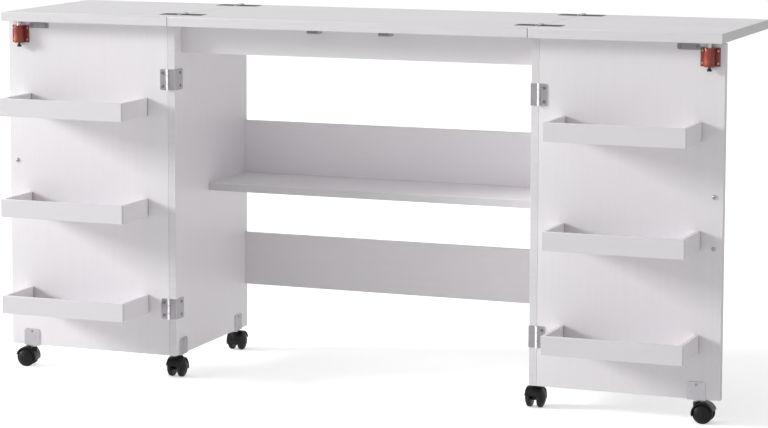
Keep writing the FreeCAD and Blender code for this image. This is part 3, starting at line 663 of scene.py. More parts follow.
class Stock:
    """Mesh of one piece while it is being made."""

    def __init__(self) -> None:
        """Start with no faces."""
        self.mesh = bmesh.new()

    def take(self, part: bmesh.types.BMesh) -> None:
        """Join a finished form to the piece.

        Args:
            part: The form, which is used up.
        """
        bmesh.ops.recalc_face_normals(part, faces=part.faces[:])
        scrap = bpy.data.meshes.new("scrap")
        part.to_mesh(scrap)
        part.free()
        self.mesh.from_mesh(scrap)
        bpy.data.meshes.remove(scrap)

    def ease(self, part: bmesh.types.BMesh, width: float, round_kind: Face = Face.MAIN) -> None:
        """Bevel the sharp edges of a form, keep its flat faces flat and join it to the piece.

        Args:
            part: The form, which is used up.
            width: Width of the eased edge.
            round_kind: Kind that its curved faces are given.
        """
        part.normal_update()
        sharp = []
        for edge in part.edges:
            if not edge.is_manifold:
                continue
            bend = edge.calc_face_angle()
            if bend > SMOOTH_ANGLE:
                sharp.append(edge)
            elif bend > FLAT_ANGLE:
                mark((face for face in edge.link_faces
                      if face.material_index == Face.MAIN.value), Face.ROUND)
        bmesh.ops.bevel(part, geom=sharp, offset=width, segments=EASED_STEPS,
                        profile=EASED_PROFILE, affect="EDGES", material=Face.EASED.value,
                        loop_slide=True)
        for face in part.faces:
            face.smooth = face.material_index in (Face.EASED.value, Face.ROUND.value)
            if face.material_index == Face.ROUND.value:
                face.material_index = round_kind.value
        self.take(part)

    def board(self, low: Vector, high: Vector, ease: float, kind: Face = Face.MAIN) -> None:
        """Board between two corners, with edge bands round its faces and eased edges.

        Args:
            low: Lowest corner.
            high: Highest corner.
            ease: Width of the eased edge.
            kind: Kind that its two broad faces are given.
        """
        part = bmesh.new()
        bmesh.ops.create_cube(part, size=1.0)
        size = high - low
        place = Matrix.Translation((low + high) / 2) @ Matrix.Diagonal((*size, 1.0))
        bmesh.ops.transform(part, matrix=place, verts=part.verts)
        part.normal_update()
        thin = min(range(3), key=lambda axis: size[axis])
        for face in part.faces:
            face.material_index = (kind if abs(face.normal[thin]) > SQUARE_ON else Face.BAND).value
        self.ease(part, ease)

    def cad(self, node: str, ease: float, round_kind: Face = Face.MAIN) -> None:
        """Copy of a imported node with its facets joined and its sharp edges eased.

        Args:
            node: Name of the node.
            ease: Width of the eased edge.
            round_kind: Kind that its curved faces are given.
        """
        part = bmesh.new()
        part.from_mesh(frame["nodes"][node].data)
        bmesh.ops.remove_doubles(part, verts=part.verts, dist=WELD)
        mark(part.faces, Face.MAIN)
        bmesh.ops.dissolve_limit(part, angle_limit=FLAT_ANGLE, verts=part.verts[:],
                                 edges=part.edges[:])
        self.ease(part, ease, round_kind)

    def prism(self, outline: Outline, low: float, high: float, place: Matrix, kind: Face,
              ease: float = 0.0) -> None:
        """Outline drawn up from one level to another.

        Args:
            outline: Points of the outline in the local XY plane.
            low: Local level of the bottom.
            high: Local level of the top.
            place: Where the form goes.
            kind: Kind of its faces.
            ease: Width of the eased edge, or zero for none.
        """
        part = bmesh.new()
        bottom, top = ([part.verts.new(place @ Vector((*point, level))) for point in outline]
                       for level in (low, high))
        part.faces.new(top)
        part.faces.new(list(reversed(bottom)))
        skin(part, (bottom, top))
        mark(part.faces, kind)
        if ease:
            self.ease(part, ease)
        else:
            self.take(part)

    def turned(self, profile: Outline, place: Matrix, kind: Face, steps: int,
               sweep: tuple[float, float] = (0.0, 360.0), closed: bool = False) -> None:
        """Profile turned about the local Z axis.

        Args:
            profile: Radius and level of each point.
            place: Where the form goes.
            kind: Kind of its faces.
            steps: Stretches round the sweep.
            sweep: First and last angle, in degrees.
            closed: Whether the profile runs back to its first point.
        """
        part = bmesh.new()
        whole = sweep[1] - sweep[0] >= 360
        rings = []
        for step in range(steps if whole else steps + 1):
            angle = math.radians(sweep[0] + (sweep[1] - sweep[0]) * step / steps)
            spots = [(out * math.cos(angle), out * math.sin(angle), level)
                     for out, level in profile]
            rings.append([part.verts.new(place @ Vector(spot)) for spot in spots])
        if whole:
            skin(part, rings + rings[:1], closed)
        else:
            skin(part, rings, closed)
            part.faces.new(rings[0])
            part.faces.new(list(reversed(rings[-1])))
        for face in part.faces:
            face.smooth = len(face.verts) == 4
        mark(part.faces, kind)
        bmesh.ops.remove_doubles(part, verts=part.verts, dist=WELD)
        self.take(part)

    def tube(self, points: Sequence[Vector], radius: float, sides: int) -> None:
        """Round wire along a line of points, with flat ends.

        Args:
            points: Points along the middle of the wire.
            radius: Radius of the wire.
            sides: Faces round the wire.
        """
        part = bmesh.new()
        across = (points[1] - points[0]).orthogonal().normalized()
        rings = []
        for here, point in enumerate(points):
            before = points[max(here - 1, 0)]
            along = (points[min(here + 1, len(points) - 1)] - before).normalized()
            across = (across - along * across.dot(along)).normalized()
            beside = along.cross(across)
            ways = [across * math.cos(turn) + beside * math.sin(turn) for turn in circle(sides)]
            rings.append([part.verts.new(point + way * radius) for way in ways])
        skin(part, rings, smooth=True)
        part.faces.new(list(reversed(rings[0])))
        part.faces.new(rings[-1])
        self.take(part)

    def screw(self, place: Matrix, kind: Screw) -> None:
        """Cross-head screw standing on the local XY plane.

        Args:
            place: Where the middle of the head's foot goes.
            kind: Kind of screw.
        """
        part = bmesh.new()
        rings = [[part.verts.new((size * math.cos(turn), size * math.sin(turn), level))
                  for turn in circle(kind.sides)] for size, level in kind.profile()]
        skin(part, rings, smooth=True)
        part.faces.new(list(reversed(rings[0])))
        cross = kind.cross()
        taper = kind.cross_taper
        bottom = kind.rise - kind.cross_depth * kind.radius
        mouth = [part.verts.new((x, y, kind.rise)) for x, y in cross]
        floor = [part.verts.new((taper * x, taper * y, bottom)) for x, y in cross]
        border = rings[-1] + mouth
        loops = [[vertex.co for vertex in ring] for ring in (rings[-1], mouth)]
        for corners in tessellate_polygon(loops):
            part.faces.new([border[corner] for corner in corners])
        skin(part, (mouth, floor))
        part.faces.new(floor)
        bmesh.ops.transform(part, matrix=place, verts=part.verts)
        self.take(part)

    def piece(self, name: str, finishes: Sequence[Finish],
              cutters: Iterable["Stock"] = ()) -> bpy.types.Object:
        """Finished object.

        Args:
            name: Name of the piece.
            finishes: Finish of each kind of face, in the order of the kinds.
            cutters: Forms that are cut out of the piece.

        Returns:
            The object, linked to the scene.
        """
        mesh = bpy.data.meshes.new(name)
        self.mesh.to_mesh(mesh)
        self.mesh.free()
        for finish in finishes:
            mesh.materials.append(finish.material())
        item = linked(name, mesh)
        for cutter in cutters:
            carve(item, cutter)
        curved = [face.use_smooth for face in item.data.polygons]
        item.data.set_sharp_from_angle(angle=CRISP_ANGLE)
        item.data.polygons.foreach_set("use_smooth", curved)
        LOG.info("%s: %d faces", name, len(item.data.polygons))
        return item


def linked(name: str, data: bpy.types.ID) -> bpy.types.Object:
    """New object in the scene.

    Args:
        name: Name of the object.
        data: Its mesh, lamp or camera.

    Returns:
        The object.
    """
    item = bpy.data.objects.new(name, data)
    bpy.context.scene.collection.objects.link(item)
    return item


def carve(item: bpy.types.Object, cutter: Stock) -> None:
    """Cut a form out of a piece.

    Args:
        item: The piece.
        cutter: The form, which is used up.
    """
    tool = cutter.piece("carving_tool", [CORE])
    change = item.modifiers.new("carve", "BOOLEAN")
    change.operation = "DIFFERENCE"
    change.solver = "EXACT"
    change.object = tool
    result = item.evaluated_get(bpy.context.evaluated_depsgraph_get())
    carved = bpy.data.meshes.new_from_object(result)
    item.modifiers.clear()
    item.data = carved
    bpy.data.objects.remove(tool)


def fix_to(item: bpy.types.Object, body: str) -> None:
    """Let an added piece, such as a set of screws, ride on a body."""
    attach(item, body)


def stand_for(item: bpy.types.Object, node: str) -> None:
    """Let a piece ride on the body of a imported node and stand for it."""
    fix_to(item, BODY_OF[node])
    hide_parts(node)


def fasten(name: str, kind: Screw, places: Iterable[Matrix], finish: Finish, body: str) -> None:
    """Make a set of like screws that rides on a body.

    Args:
        name: Name of the piece.
        kind: Kind of screw.
        places: Where the heads stand.
        finish: Finish of the heads.
        body: Body that carries them.
    """
    stock = Stock()
    for place in places:
        stock.screw(place, kind)
    fix_to(stock.piece(name, [finish]), body)


def dress(node: str, ease: float, *finishes: Finish) -> None:
    """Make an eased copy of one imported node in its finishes.

    Args:
        node: Name of the node.
        ease: Width of the eased edges.
        finishes: Finish of the faces and, where they differ, of the eased edges and of the
            curved faces.
    """
    if len(finishes) == 1:
        finishes *= 2
    stock = Stock()
    stock.cad(node, ease, Face.BAND if len(finishes) > Face.BAND.value else Face.MAIN)
    stand_for(stock.piece(f"{node}_eased", finishes), node)


@dataclass
class Worktop:
    """Centre top and two fold-over leaves on flush flap hinges."""

    ease: float = 0.7 * MM
    plate_reach: float = 46 * MM
    plate_width: float = 40 * MM
    plate_thickness: float = 1.5 * MM
    plate_corner: float = 6 * MM
    plate_ease: float = 0.2 * MM
    pin_ease: float = 0.25 * MM
    mortise_gap: float = 0.3 * MM
    barrel_relief: float = 3.4 * MM
    barrel_sides: int = 24
    front_setback: float = 76 * MM
    rear_setback: float = 34 * MM
    bolt_hole_radius: float = 4.6 * MM
    bolt_hole_depth: float = 5 * MM
    bolt_hole_sides: int = 32
    drill_start: float = -1 * MM
    screw: Screw = Screw(3.3 * MM, 0.35 * MM)
    screw_turn: float = 0.4
    screw_places: Pairs = ((18 * MM, 12 * MM), (18 * MM, -12 * MM), (37 * MM, 0.0))

    def hinge_spots(self, hand: Hand) -> list[Vector]:
        """Find one seam's two hinge pins.

        Args:
            hand: Side of the seam.

        Returns:
            Middles of the pins.
        """
        low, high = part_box("centre_top")
        axis = JOINTS[hand.name_of("leaf_fold")]["pos_m"]
        rows = (low.y + self.front_setback, high.y - self.rear_setback)
        return [Vector((axis[0], row, axis[2])) for row in rows]

    def pockets(self, hands: Iterable[Hand]) -> tuple[Stock, Stock]:
        """Cutters of the hinge pockets at some seams.

        Args:
            hands: Sides whose seams are cut.

        Returns:
            The flat pockets and the grooves of the barrels.
        """
        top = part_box("centre_top")[1].z
        flats = Stock()
        grooves = Stock()
        deep = self.plate_thickness
        width = self.plate_width + 2 * self.mortise_gap
        length = 2 * (self.plate_reach + self.mortise_gap)
        shape = round_rectangle(length, width, self.plate_corner)
        barrel = rod(self.barrel_relief, 0.0, width)
        for hand in hands:
            for spot in self.hinge_spots(hand):
                flats.prism(shape, -deep, deep, Matrix.Translation((spot.x, spot.y, top)),
                            Face.CORE)
                start = aimed((spot.x, spot.y - width / 2, spot.z), TOWARDS_BACK)
                grooves.turned(barrel, start, Face.CORE, self.barrel_sides)
        return flats, grooves

    def board(self, node: str, *cutters: Stock) -> None:
        """Make one board of the worktop with its pockets cut and painted shade on its end bands.

        Args:
            node: Name of the board's node.
            cutters: Forms of the pockets.
        """
        stock = Stock()
        stock.board(*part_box(node), self.ease)
        # The end faces get a darker copy of the edge band: painted shade.
        mark((face for face in stock.mesh.faces if face.material_index == Face.BAND.value
              and abs(face.normal.x) > SQUARE_ON), Face.FRONT)
        finishes = [FACE_TOP, EASE, BAND, CORE, BAND_END]
        stand_for(stock.piece(f"{node}_board", finishes, cutters), node)

    def bolt_hole(self, hand: Hand) -> Stock:
        """Drill for the hole that takes the spring bolt of the open door.

        Args:
            hand: Side of the leaf.

        Returns:
            The drill.
        """
        low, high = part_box(hand.name_of("bolt"))
        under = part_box(hand.name_of("leaf"))[0].z
        middle = (low + high) / 2
        drill = Stock()
        drill.turned(rod(self.bolt_hole_radius, self.drill_start, self.bolt_hole_depth),
                     Matrix.Translation((middle.x, middle.y, under)), Face.CORE,
                     self.bolt_hole_sides)
        return drill

    def screws(self, hand: Hand, side: int, name: str, body: str) -> None:
        """Countersunk screws of one seam's plates on one side of the pins.

        Args:
            hand: Side of the seam.
            side: Direction of the plates from the pins, along X.
            name: Name of the piece.
            body: Body that carries the plates.
        """
        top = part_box("centre_top")[1].z
        places = [aimed((spot.x + side * out, spot.y + along, top), UP, self.screw_turn + count)
                  for spot in self.hinge_spots(hand)
                  for count, (out, along) in enumerate(self.screw_places)]
        fasten(name, self.screw, places, SCREW_STEEL, body)

    def build(self) -> None:
        """Make the boards, hinges and screws."""
        self.board("centre_top", *self.pockets(Hand))
        for hand in Hand:
            leaf = hand.name_of("leaf")
            self.board(leaf, *self.pockets([hand]), self.bolt_hole(hand))
            dress(hand.name_of("leaf_hinge_plates"), self.plate_ease, *FLAP_HINGE)
            self.screws(hand, hand.value, hand.name_of("leaf_hinge_screws"), leaf)
            self.screws(hand, -hand.value, hand.name_of("centre_hinge_screws"), "cabinet")
        dress("flap_hinge_fixed_leaves", self.plate_ease, *FLAP_HINGE)
        dress("flap_hinge_pins", self.pin_ease, BRIGHT_STEEL)


@dataclass
class Cabinet:
    """Side panels, front rail, shelf and two back boards."""

    ease: float = 0.4 * MM
    open_boards: tuple[str, ...] = ("shelf", "upper_back_board")
    plain_boards: tuple[str, ...] = ("front_rail", "lower_back_board")

    def board(self, node: str, face: Finish, band: Finish) -> None:
        """Make one plain board.

        Args:
            node: Name of the board's node.
            face: Finish of its broad faces.
            band: Finish of its edges.
        """
        stock = Stock()
        stock.board(*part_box(node), self.ease)
        stand_for(stock.piece(f"{node}_board", [face, EASE, band]), node)

    def build(self) -> None:
        """Make every board of the cabinet."""
        # Shelf and upper back take a lighter copy of the white, rail and lower back a darker one, and the side
        # panels the lightest: painted light and shade.
        for node in self.open_boards:
            self.board(node, FACE_INNER, BAND_INNER)
        for node in self.plain_boards:
            self.board(node, FACE_RAIL, BAND_INNER)
        for hand in Hand:
            self.board(hand.name_of("side_panel"), FACE_SIDE, BAND)


@dataclass
class Door:
    """One swing door: panel, three trays, handle, strike plate and hinge leaves."""

    hand: Hand
    ease: float = 0.4 * MM
    hinge_lip: float = 0.7 * MM
    tray_rows: tuple[str, ...] = ("upper", "middle", "lower")
    tray_ease: float = 0.5 * MM
    tray_board: float = 8 * MM
    tray_floor: float = 5 * MM
    raw_edge: float = 1.6 * MM
    raw_inset: float = 0.4 * MM
    upper_strap_drop: float = 107 * MM
    lower_strap_rise: float = 95 * MM
    strap_plate: float = 1.2 * MM
    strap_ease: float = 0.2 * MM
    strap_screw: Screw = Screw(3.2 * MM, 0.7 * MM)
    strap_screw_out: float = 10.5 * MM
    strap_screw_rise: float = 13 * MM
    strap_panel_out: float = 24 * MM
    door_screw_twist: float = 90.0
    panel_screw_twist: float = 60.0
    handle_ease: float = 0.7 * MM
    handle_spacing: float = 96 * MM
    handle_screw: Screw = Screw(4.2 * MM, 2.2 * MM)
    handle_screw_turn: float = 0.3
    strike_ease: float = 0.25 * MM
    strike_field: tuple[float, float, float] = (22 * MM, 6 * MM, 2.4 * MM)
    strike_emboss: float = 0.35 * MM
    emboss_ease: float = 0.2 * MM
    strike_screw: Screw = Screw(2.6 * MM, 0.6 * MM)
    strike_screw_out: float = 16 * MM
    strike_screw_turn: float = 0.7

    def screws(self, name: str, kind: Screw, places: Iterable[Matrix], finish: Finish,
               body: str | None = None) -> None:
        """Make a set of screws of this side."""
        carrier = body or self.hand.name_of("door")
        fasten(self.hand.name_of(name), kind, places, finish, carrier)

    def panel(self) -> None:
        """Door panel, with a lip of edge band that narrows the gap at the hinges."""
        node = self.hand.name_of("door_panel")
        low, high = (corner.copy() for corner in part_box(node))
        near = low if self.hand is Hand.RIGHT else high
        near.x -= self.hand.value * self.hinge_lip
        stock = Stock()
        stock.board(low, high, self.ease)
        stand_for(stock.piece(f"{node}_board", [FACE_DOOR, EASE, BAND]), node)

    def tray(self, node: str) -> None:
        """Boards of one tray: front, two ends with raw edges against the door, and floor.

        Args:
            node: Name of the tray's node.
        """
        low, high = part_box(node)
        wall = self.tray_board
        inset = self.raw_inset
        inner = low.y + wall
        rear = high.y - self.raw_edge
        raw = round_rectangle(wall - 2 * inset, high.z - low.z - 2 * inset, inset)
        stock = Stock()
        stock.board(low, Vector((high.x, inner, high.z)), self.tray_ease, Face.FRONT)
        for left in (low.x, high.x - wall):
            stock.board(Vector((left, inner, low.z)), Vector((left + wall, rear, high.z)),
                        self.tray_ease)
            place = aimed((left + wall / 2, rear, (low.z + high.z) / 2), TOWARDS_BACK)
            stock.prism(raw, -self.raw_edge, self.raw_edge, place, Face.CORE)
        stock.board(Vector((low.x + wall, inner, low.z)),
                    Vector((high.x - wall, high.y, low.z + self.tray_floor)), self.tray_ease)
        # Ends and floor take a lighter copy of the white and the front a darker one: painted light and shade.
        finishes = [FACE_TRAY, EASE, BAND_TRAY, CORE, FACE_TRAY_FRONT]
        stand_for(stock.piece(f"{node}_boards", finishes), node)

    def handle(self) -> None:
        """Bar handle, and the pan heads of its two screws on the inner face."""
        node = self.hand.name_of("handle")
        dress(node, self.handle_ease, SATIN_NICKEL)
        low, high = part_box(node)
        middle = (low + high) / 2
        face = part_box(self.hand.name_of("door_panel"))[0].y
        places = [aimed((middle.x, face, middle.z + end * self.handle_spacing / 2),
                        TOWARDS_FRONT, self.handle_screw_turn * end) for end in ENDS]
        self.screws("handle_screws", self.handle_screw, places, BRIGHT_SCREW)

    def strike_plate(self) -> None:
        """Strike plate with an embossed field and two screws."""
        node = self.hand.name_of("strike_plate")
        low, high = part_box(node)
        middle = (low + high) / 2
        stock = Stock()
        stock.cad(node, self.strike_ease)
        stock.prism(round_rectangle(*self.strike_field), -self.strike_emboss, self.strike_emboss,
                    aimed((middle.x, low.y, middle.z), TOWARDS_FRONT), Face.MAIN,
                    self.emboss_ease)
        stand_for(stock.piece(f"{node}_embossed", [DULL_ZINC, ZINC_LIGHTER_EDGE]), node)
        places = [aimed((middle.x + end * self.strike_screw_out, low.y, middle.z),
                        TOWARDS_FRONT, self.strike_screw_turn + end) for end in ENDS]
        self.screws("strike_screws", self.strike_screw, places, SCREW_STEEL)

    def hinges(self) -> None:
        """Hinge leaves on the door, and the screws in both leaves of each hinge."""
        sign = self.hand.value
        dress(self.hand.name_of("door_hinge_leaves"), self.strap_ease, *DOOR_HINGE)
        pin = JOINTS[self.hand.name_of("door_swing")]["pos_m"]
        low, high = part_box(self.hand.name_of("door_panel"))
        panel_low, panel_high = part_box(self.hand.name_of("side_panel"))
        inner = panel_low.x if sign > 0 else panel_high.x
        on_door = []
        on_panel = []
        for level in (high.z - self.upper_strap_drop, low.z + self.lower_strap_rise):
            for rise in (-self.strap_screw_rise, self.strap_screw_rise):
                place = (pin[0] + sign * self.strap_screw_out, low.y - self.strap_plate,
                         level + rise)
                on_door.append(aimed(place, TOWARDS_FRONT, rise * self.door_screw_twist))
                place = (inner - sign * self.strap_plate, low.y + self.strap_panel_out,
                         level + rise)
                on_panel.append(aimed(place, Vector((-sign, 0, 0)),
                                      rise * self.panel_screw_twist))
        self.screws("door_hinge_screws", self.strap_screw, on_door, SCREW_STEEL)
        self.screws("frame_hinge_screws", self.strap_screw, on_panel, SCREW_STEEL, "cabinet")

    def build(self) -> None:
        """Make the door and what is fixed to it."""
        self.panel()
        for row in self.tray_rows:
            self.tray(self.hand.name_of(f"{row}_tray"))
        self.handle()
        self.strike_plate()
        self.hinges()


@dataclass
class SpringBolt:
    """Spring bolt at an open door's upper corner: housing, bolt, knob, coil spring, screws."""

    hand: Hand
    ease: float = 0.5 * MM
    bolt_ease: float = 0.2 * MM
    knob_ease: float = 0.25 * MM
    wire_radius: float = 0.5 * MM
    wire_sides: int = 14
    end_bend: float = 1.5 * MM
    bend_reach: float = 0.45
    bend_steps: int = 8
    turns: int = 4
    steps_per_turn: int = 40
    screw: Screw = Screw(2.2 * MM, 1.1 * MM)
    screw_out: float = 14.6 * MM
    screw_rise: float = 11.5 * MM
    screw_turn: float = 0.4
    flange: float = 2.5 * MM
    stem_level: float = 1 * MM
    # Factor of the painted highlight on the housing's eased edges.
    edge_painted_highlight: float = 1.5
    # Place of the painted pool of light: aside from the middle and up from the foot.
    painted_light_aside: float = 5 * MM
    painted_light_rise: float = 9 * MM

    def bend(self, start: Vector, way: Vector, end: Vector, end_way: Vector) -> list[Vector]:
        """Smooth bend of the wire between two points.

        Args:
            start: First point.
            way: Direction at the first point.
            end: Last point.
            end_way: Direction at the last point.

        Returns:
            The points between them.
        """
        reach = (end - start).length * self.bend_reach
        corners = (start, start + way * reach, end - end_way * reach, end)
        points = []
        for step in range(1, self.bend_steps):
            share = step / self.bend_steps
            rest = 1 - share
            points.append(corners[0] * rest ** 3 + corners[1] * 3 * rest ** 2 * share
                          + corners[2] * 3 * rest * share ** 2 + corners[3] * share ** 3)
        return points

    def coil_line(self) -> list[Vector]:
        """Middle line of the spring's wire, with its upright ends.

        Returns:
            Points along the line.
        """
        low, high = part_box(self.hand.name_of("spring"))
        middle = (low + high) / 2
        hand = self.hand.value
        wire = 2 * self.wire_radius
        radius = (high.x - low.x) / 2 - self.wire_radius
        base = low.z + wire + self.end_bend
        last = 2 * math.pi * self.turns
        slope = (high.z - low.z - 2 * (wire + self.end_bend)) / last
        steps = self.turns * self.steps_per_turn
        coil = []
        for step in range(steps + 1):
            angle = last * step / steps
            coil.append(Vector((hand * radius * math.cos(angle), radius * math.sin(angle),
                                base + slope * angle)))
        way = Vector((0, radius, slope)).normalized()
        foot = Vector((hand * radius, -self.end_bend, low.z + wire))
        head = Vector((hand * radius, self.end_bend, high.z - wire))
        line = [foot - UP * wire, foot, *self.bend(foot, UP, coil[0], way), *coil,
                *self.bend(coil[-1], way, head, UP), head, head + UP * wire]
        axis = Vector((middle.x, middle.y, 0))
        return [axis + point for point in line]

    def spring(self) -> None:
        """Coil of round wire with upright ends, in place of the spring's node."""
        node = self.hand.name_of("spring")
        bolt = self.hand.name_of("bolt")
        stock = Stock()
        stock.tube(self.coil_line(), self.wire_radius, self.wire_sides)
        item = stock.piece(f"{node}_coil", [BRIGHT_STEEL])
        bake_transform(item)
        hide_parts(node)

    def screws(self) -> None:
        """Four screws through the housing's flanges."""
        low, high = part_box(self.hand.name_of("latch_housing"))
        middle = (low + high) / 2
        places = [aimed((middle.x + side * self.screw_out, high.y - self.flange,
                         middle.z + end * self.screw_rise),
                        TOWARDS_FRONT, side + self.screw_turn * end)
                  for side in ENDS for end in ENDS]
        fasten(self.hand.name_of("latch_screws"), self.screw, places, BRIGHT_SCREW,
               self.hand.name_of("door"))

    def housing(self) -> None:
        """Translucent arch, with painted light low on its left and a painted highlight on its edges."""
        node = self.hand.name_of("latch_housing")
        low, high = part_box(node)
        # The painted pool of light sits low on the left of the arch.
        glow = ((low.x + high.x) / 2 - self.painted_light_aside, low.y, low.z + self.painted_light_rise)
        plastic = Translucent(self.hand.name_of("red_plastic"), RED_DYE, painted_light_place=glow)
        # Lighter copy of the plastic for the eased edges: a painted highlight.
        edge = Translucent(self.hand.name_of("red_plastic_edge"), shade(RED_DYE, self.edge_painted_highlight),
                           painted_light_place=glow)
        dress(node, self.ease, plastic, edge)

    def bolt(self) -> None:
        """Steel bolt whose stem is black where it leaves the housing."""
        node = self.hand.name_of("bolt")
        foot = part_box(self.hand.name_of("latch_housing"))[0].z + self.stem_level
        stock = Stock()
        stock.cad(node, self.bolt_ease)
        for face in stock.mesh.faces:
            lowest = min(vertex.co.z for vertex in face.verts)
            face.material_index = (Face.EASED if lowest < foot else Face.MAIN).value
        stand_for(stock.piece(f"{node}_eased", [BOLT_STEEL, KNOB_BLACK]), node)

    def build(self) -> None:
        """Make the whole spring bolt."""
        self.housing()
        self.bolt()
        dress(self.hand.name_of("knob"), self.knob_ease, KNOB_BLACK)
        self.spring()
        self.screws()


@dataclass
class Catches:
    """Magnetic catches under the front of the top, and the cabinet's half of the door hinges."""

    housing_ease: float = 0.5 * MM
    magnet_ease: float = 0.25 * MM
    hinge_ease: float = 0.2 * MM

    def build(self) -> None:
        """Make catches, hinge leaves and pins."""
        dress("catch_housings", self.housing_ease, CATCH_GREY)
        dress("catch_magnets", self.magnet_ease, MAGNET)
        dress("door_hinge_frame_leaves", self.hinge_ease, *DOOR_HINGE)
        dress("door_hinge_pins", self.hinge_ease, BRIGHT_STEEL)


@dataclass
class Caster:
    """One hooded twin-wheel caster."""

    name: str
    trail: float = 13 * MM
    wheel_radius: float = 19 * MM
    wheel_inner: float = 6.5 * MM
    wheel_outer: float = 20 * MM
    wheel_sides: int = 56
    tread_edge: float = 13.5 * MM
    tread_round: float = 2.4 * MM
    tread_corner: float = 0.7 * MM
    tread_wear: float = 0.4 * MM
    corner_sweep: float = 60.0
    corner_steps: int = 4
    dome_edge: float = 0.42 * MM
    dome_steps: int = 6
    rim_groove: float = 16.2 * MM
    hub_groove: float = 5.4 * MM
    groove_half: float = 0.5 * MM
    groove_depth: float = 0.55 * MM
    axle_radius: float = 2.5 * MM
    axle_half: float = 16.5 * MM
    axle_sides: int = 24
    hood_wall: float = 1.6 * MM
    hood_inner: float = 19.9 * MM
    hood_crest: float = 14.4 * MM
    hood_shoulder: float = 0.8 * MM
    hood_sweep: tuple[float, float] = (15.0, 195.0)
    hood_sides: int = 40
    lip_steps: int = 4
    web_half: float = 6 * MM
    hub_radius: float = 6 * MM
    hub_sides: int = 32
    boss_radius: float = 5.8 * MM
    boss_flare: float = 1.6 * MM
    boss_sunk: float = 1 * MM
    boss_lift: float = 1.5 * MM
    boss_curve: tuple[float, float] = (230.0, 180.0)
    boss_top: float = 42.8 * MM
    washer_radius: float = 7.4 * MM
    washer_height: float = 2.2 * MM
    washer_lip: float = 0.4 * MM
    washer_sides: int = 36

    def place(self) -> Matrix:
        """Find the kingpin and the heading from the caster's joints.

        Returns:
            The place as a matrix.
        """
        spot = JOINTS[self.name + SWIVEL]["pos_m"]
        axis = JOINTS[f"{self.name}_wheels_roll"]["axis"]
        heading = Matrix.Rotation(math.atan2(-axis[0], axis[1]), 4, "Z")
        return Matrix.Translation(Vector(spot)) @ heading

    def axle(self) -> Matrix:
        """Place of the axle, upright as the caster stands."""
        return self.place() @ Matrix.Translation((self.trail, 0, self.wheel_radius))

    def dome(self, radius: float) -> tuple[float, float]:
        """Point of a wheel's domed face.

        Args:
            radius: Distance from the axle.

        Returns:
            The radius and the level there.
        """
        rise = self.wheel_outer - self.tread_edge
        ball = (self.wheel_radius ** 2 + rise ** 2) / (2 * rise)
        return radius, self.wheel_outer - ball + math.sqrt(ball ** 2 - radius ** 2)

    def tread_profile(self) -> Outline:
        """Half section of a wheel's inner face and tread.

        Returns:
            The points, from the axle outwards.
        """
        inner = (self.wheel_radius - self.tread_round, self.wheel_inner + self.tread_round)
        outer = (self.wheel_radius - self.tread_corner, self.tread_edge - self.tread_corner)
        corner = arc(outer, self.tread_corner, 0, self.corner_sweep, self.corner_steps)
        return [(0.0, self.wheel_inner), (self.axle_radius, self.wheel_inner),
                *arc(inner, self.tread_round, -90, 0), *corner]

    def dome_profile(self) -> Outline:
        """Half section of a wheel's domed face with its two moulded grooves.

        Returns:
            The points, from the tread to the middle.
        """
        start = self.wheel_radius - self.dome_edge
        points: Outline = []
        edges = [start, self.rim_groove, self.hub_groove, 0.0]
        for outer, inner in zip(edges, edges[1:]):
            first = outer - (self.groove_half if outer != start else 0.0)
            last = inner + (self.groove_half if inner else 0.0)
            points += [self.dome(first + (last - first) * step / self.dome_steps)
                       for step in range(self.dome_steps + 1)]
            if inner:
                radius, level = self.dome(inner)
                points.append((radius, level - self.groove_depth))
        return points

    def wheels(self) -> None:
        """Two domed wheels with worn treads, and their axle."""
        axle = self.axle()
        profile = self.tread_profile() + self.dome_profile()
        stock = Stock()
        for turn in (AXLE_TURN, FAR_AXLE_TURN):
            stock.turned(profile, axle @ turn, Face.MAIN, self.wheel_sides)
        stock.turned(rod(self.axle_radius, -self.axle_half, self.axle_half), axle @ AXLE_TURN,
                     Face.BAND, self.axle_sides)
        back = axle.inverted()
        for face in stock.mesh.faces:
            spot = back @ face.calc_center_median()
            if (math.hypot(spot.x, spot.z) > self.wheel_radius - self.tread_wear
                    and face.material_index == Face.MAIN.value):
                face.material_index = Face.EASED.value
        finishes = [WHEEL_BLACK, TREAD_BLACK, BRIGHT_STEEL]
        stand_for(stock.piece(f"{self.name}_wheel_pair", finishes), f"{self.name}_caster_wheels")

    def hood_section(self) -> Outline:
        """Section of the hood's shell, with round shoulders and lips.

        Returns:
            The closed outline.
        """
        lip = self.hood_inner - self.hood_shoulder
        crest = self.hood_crest
        outer = self.hood_shoulder + self.hood_wall
        half = self.hood_wall / 2
        middle = crest + (self.hood_shoulder + half)
        return [
            *arc((lip, crest), outer, 0, 90),
            *arc((lip, middle), half, 90, 270, self.lip_steps)[1:-1],
            *arc((lip, crest), self.hood_shoulder, 90, 0),
            *arc((lip, -crest), self.hood_shoulder, 0, -90),
            *arc((lip, -middle), half, 90, 270, self.lip_steps)[1:-1],
            *arc((lip, -crest), outer, -90, 0),
        ]

    def boss_profile(self) -> Outline:
        """Half section of the kingpin's boss, flared where it leaves the hood.

        Returns:
            The points, from the axle's level upwards.
        """
        foot = self.wheel_radius + math.sqrt(
            (self.hood_inner + self.hood_wall) ** 2 - self.trail ** 2)
        wide = self.boss_radius + self.boss_flare
        top = self.boss_top - self.washer_height
        flare = (self.boss_radius + 2 * self.boss_flare, foot + self.boss_lift)
        return [(0.0, self.wheel_radius), (wide, self.wheel_radius), (wide, foot - self.boss_sunk),
                *arc(flare, self.boss_flare, *self.boss_curve), (self.boss_radius, top), (0.0, top)]

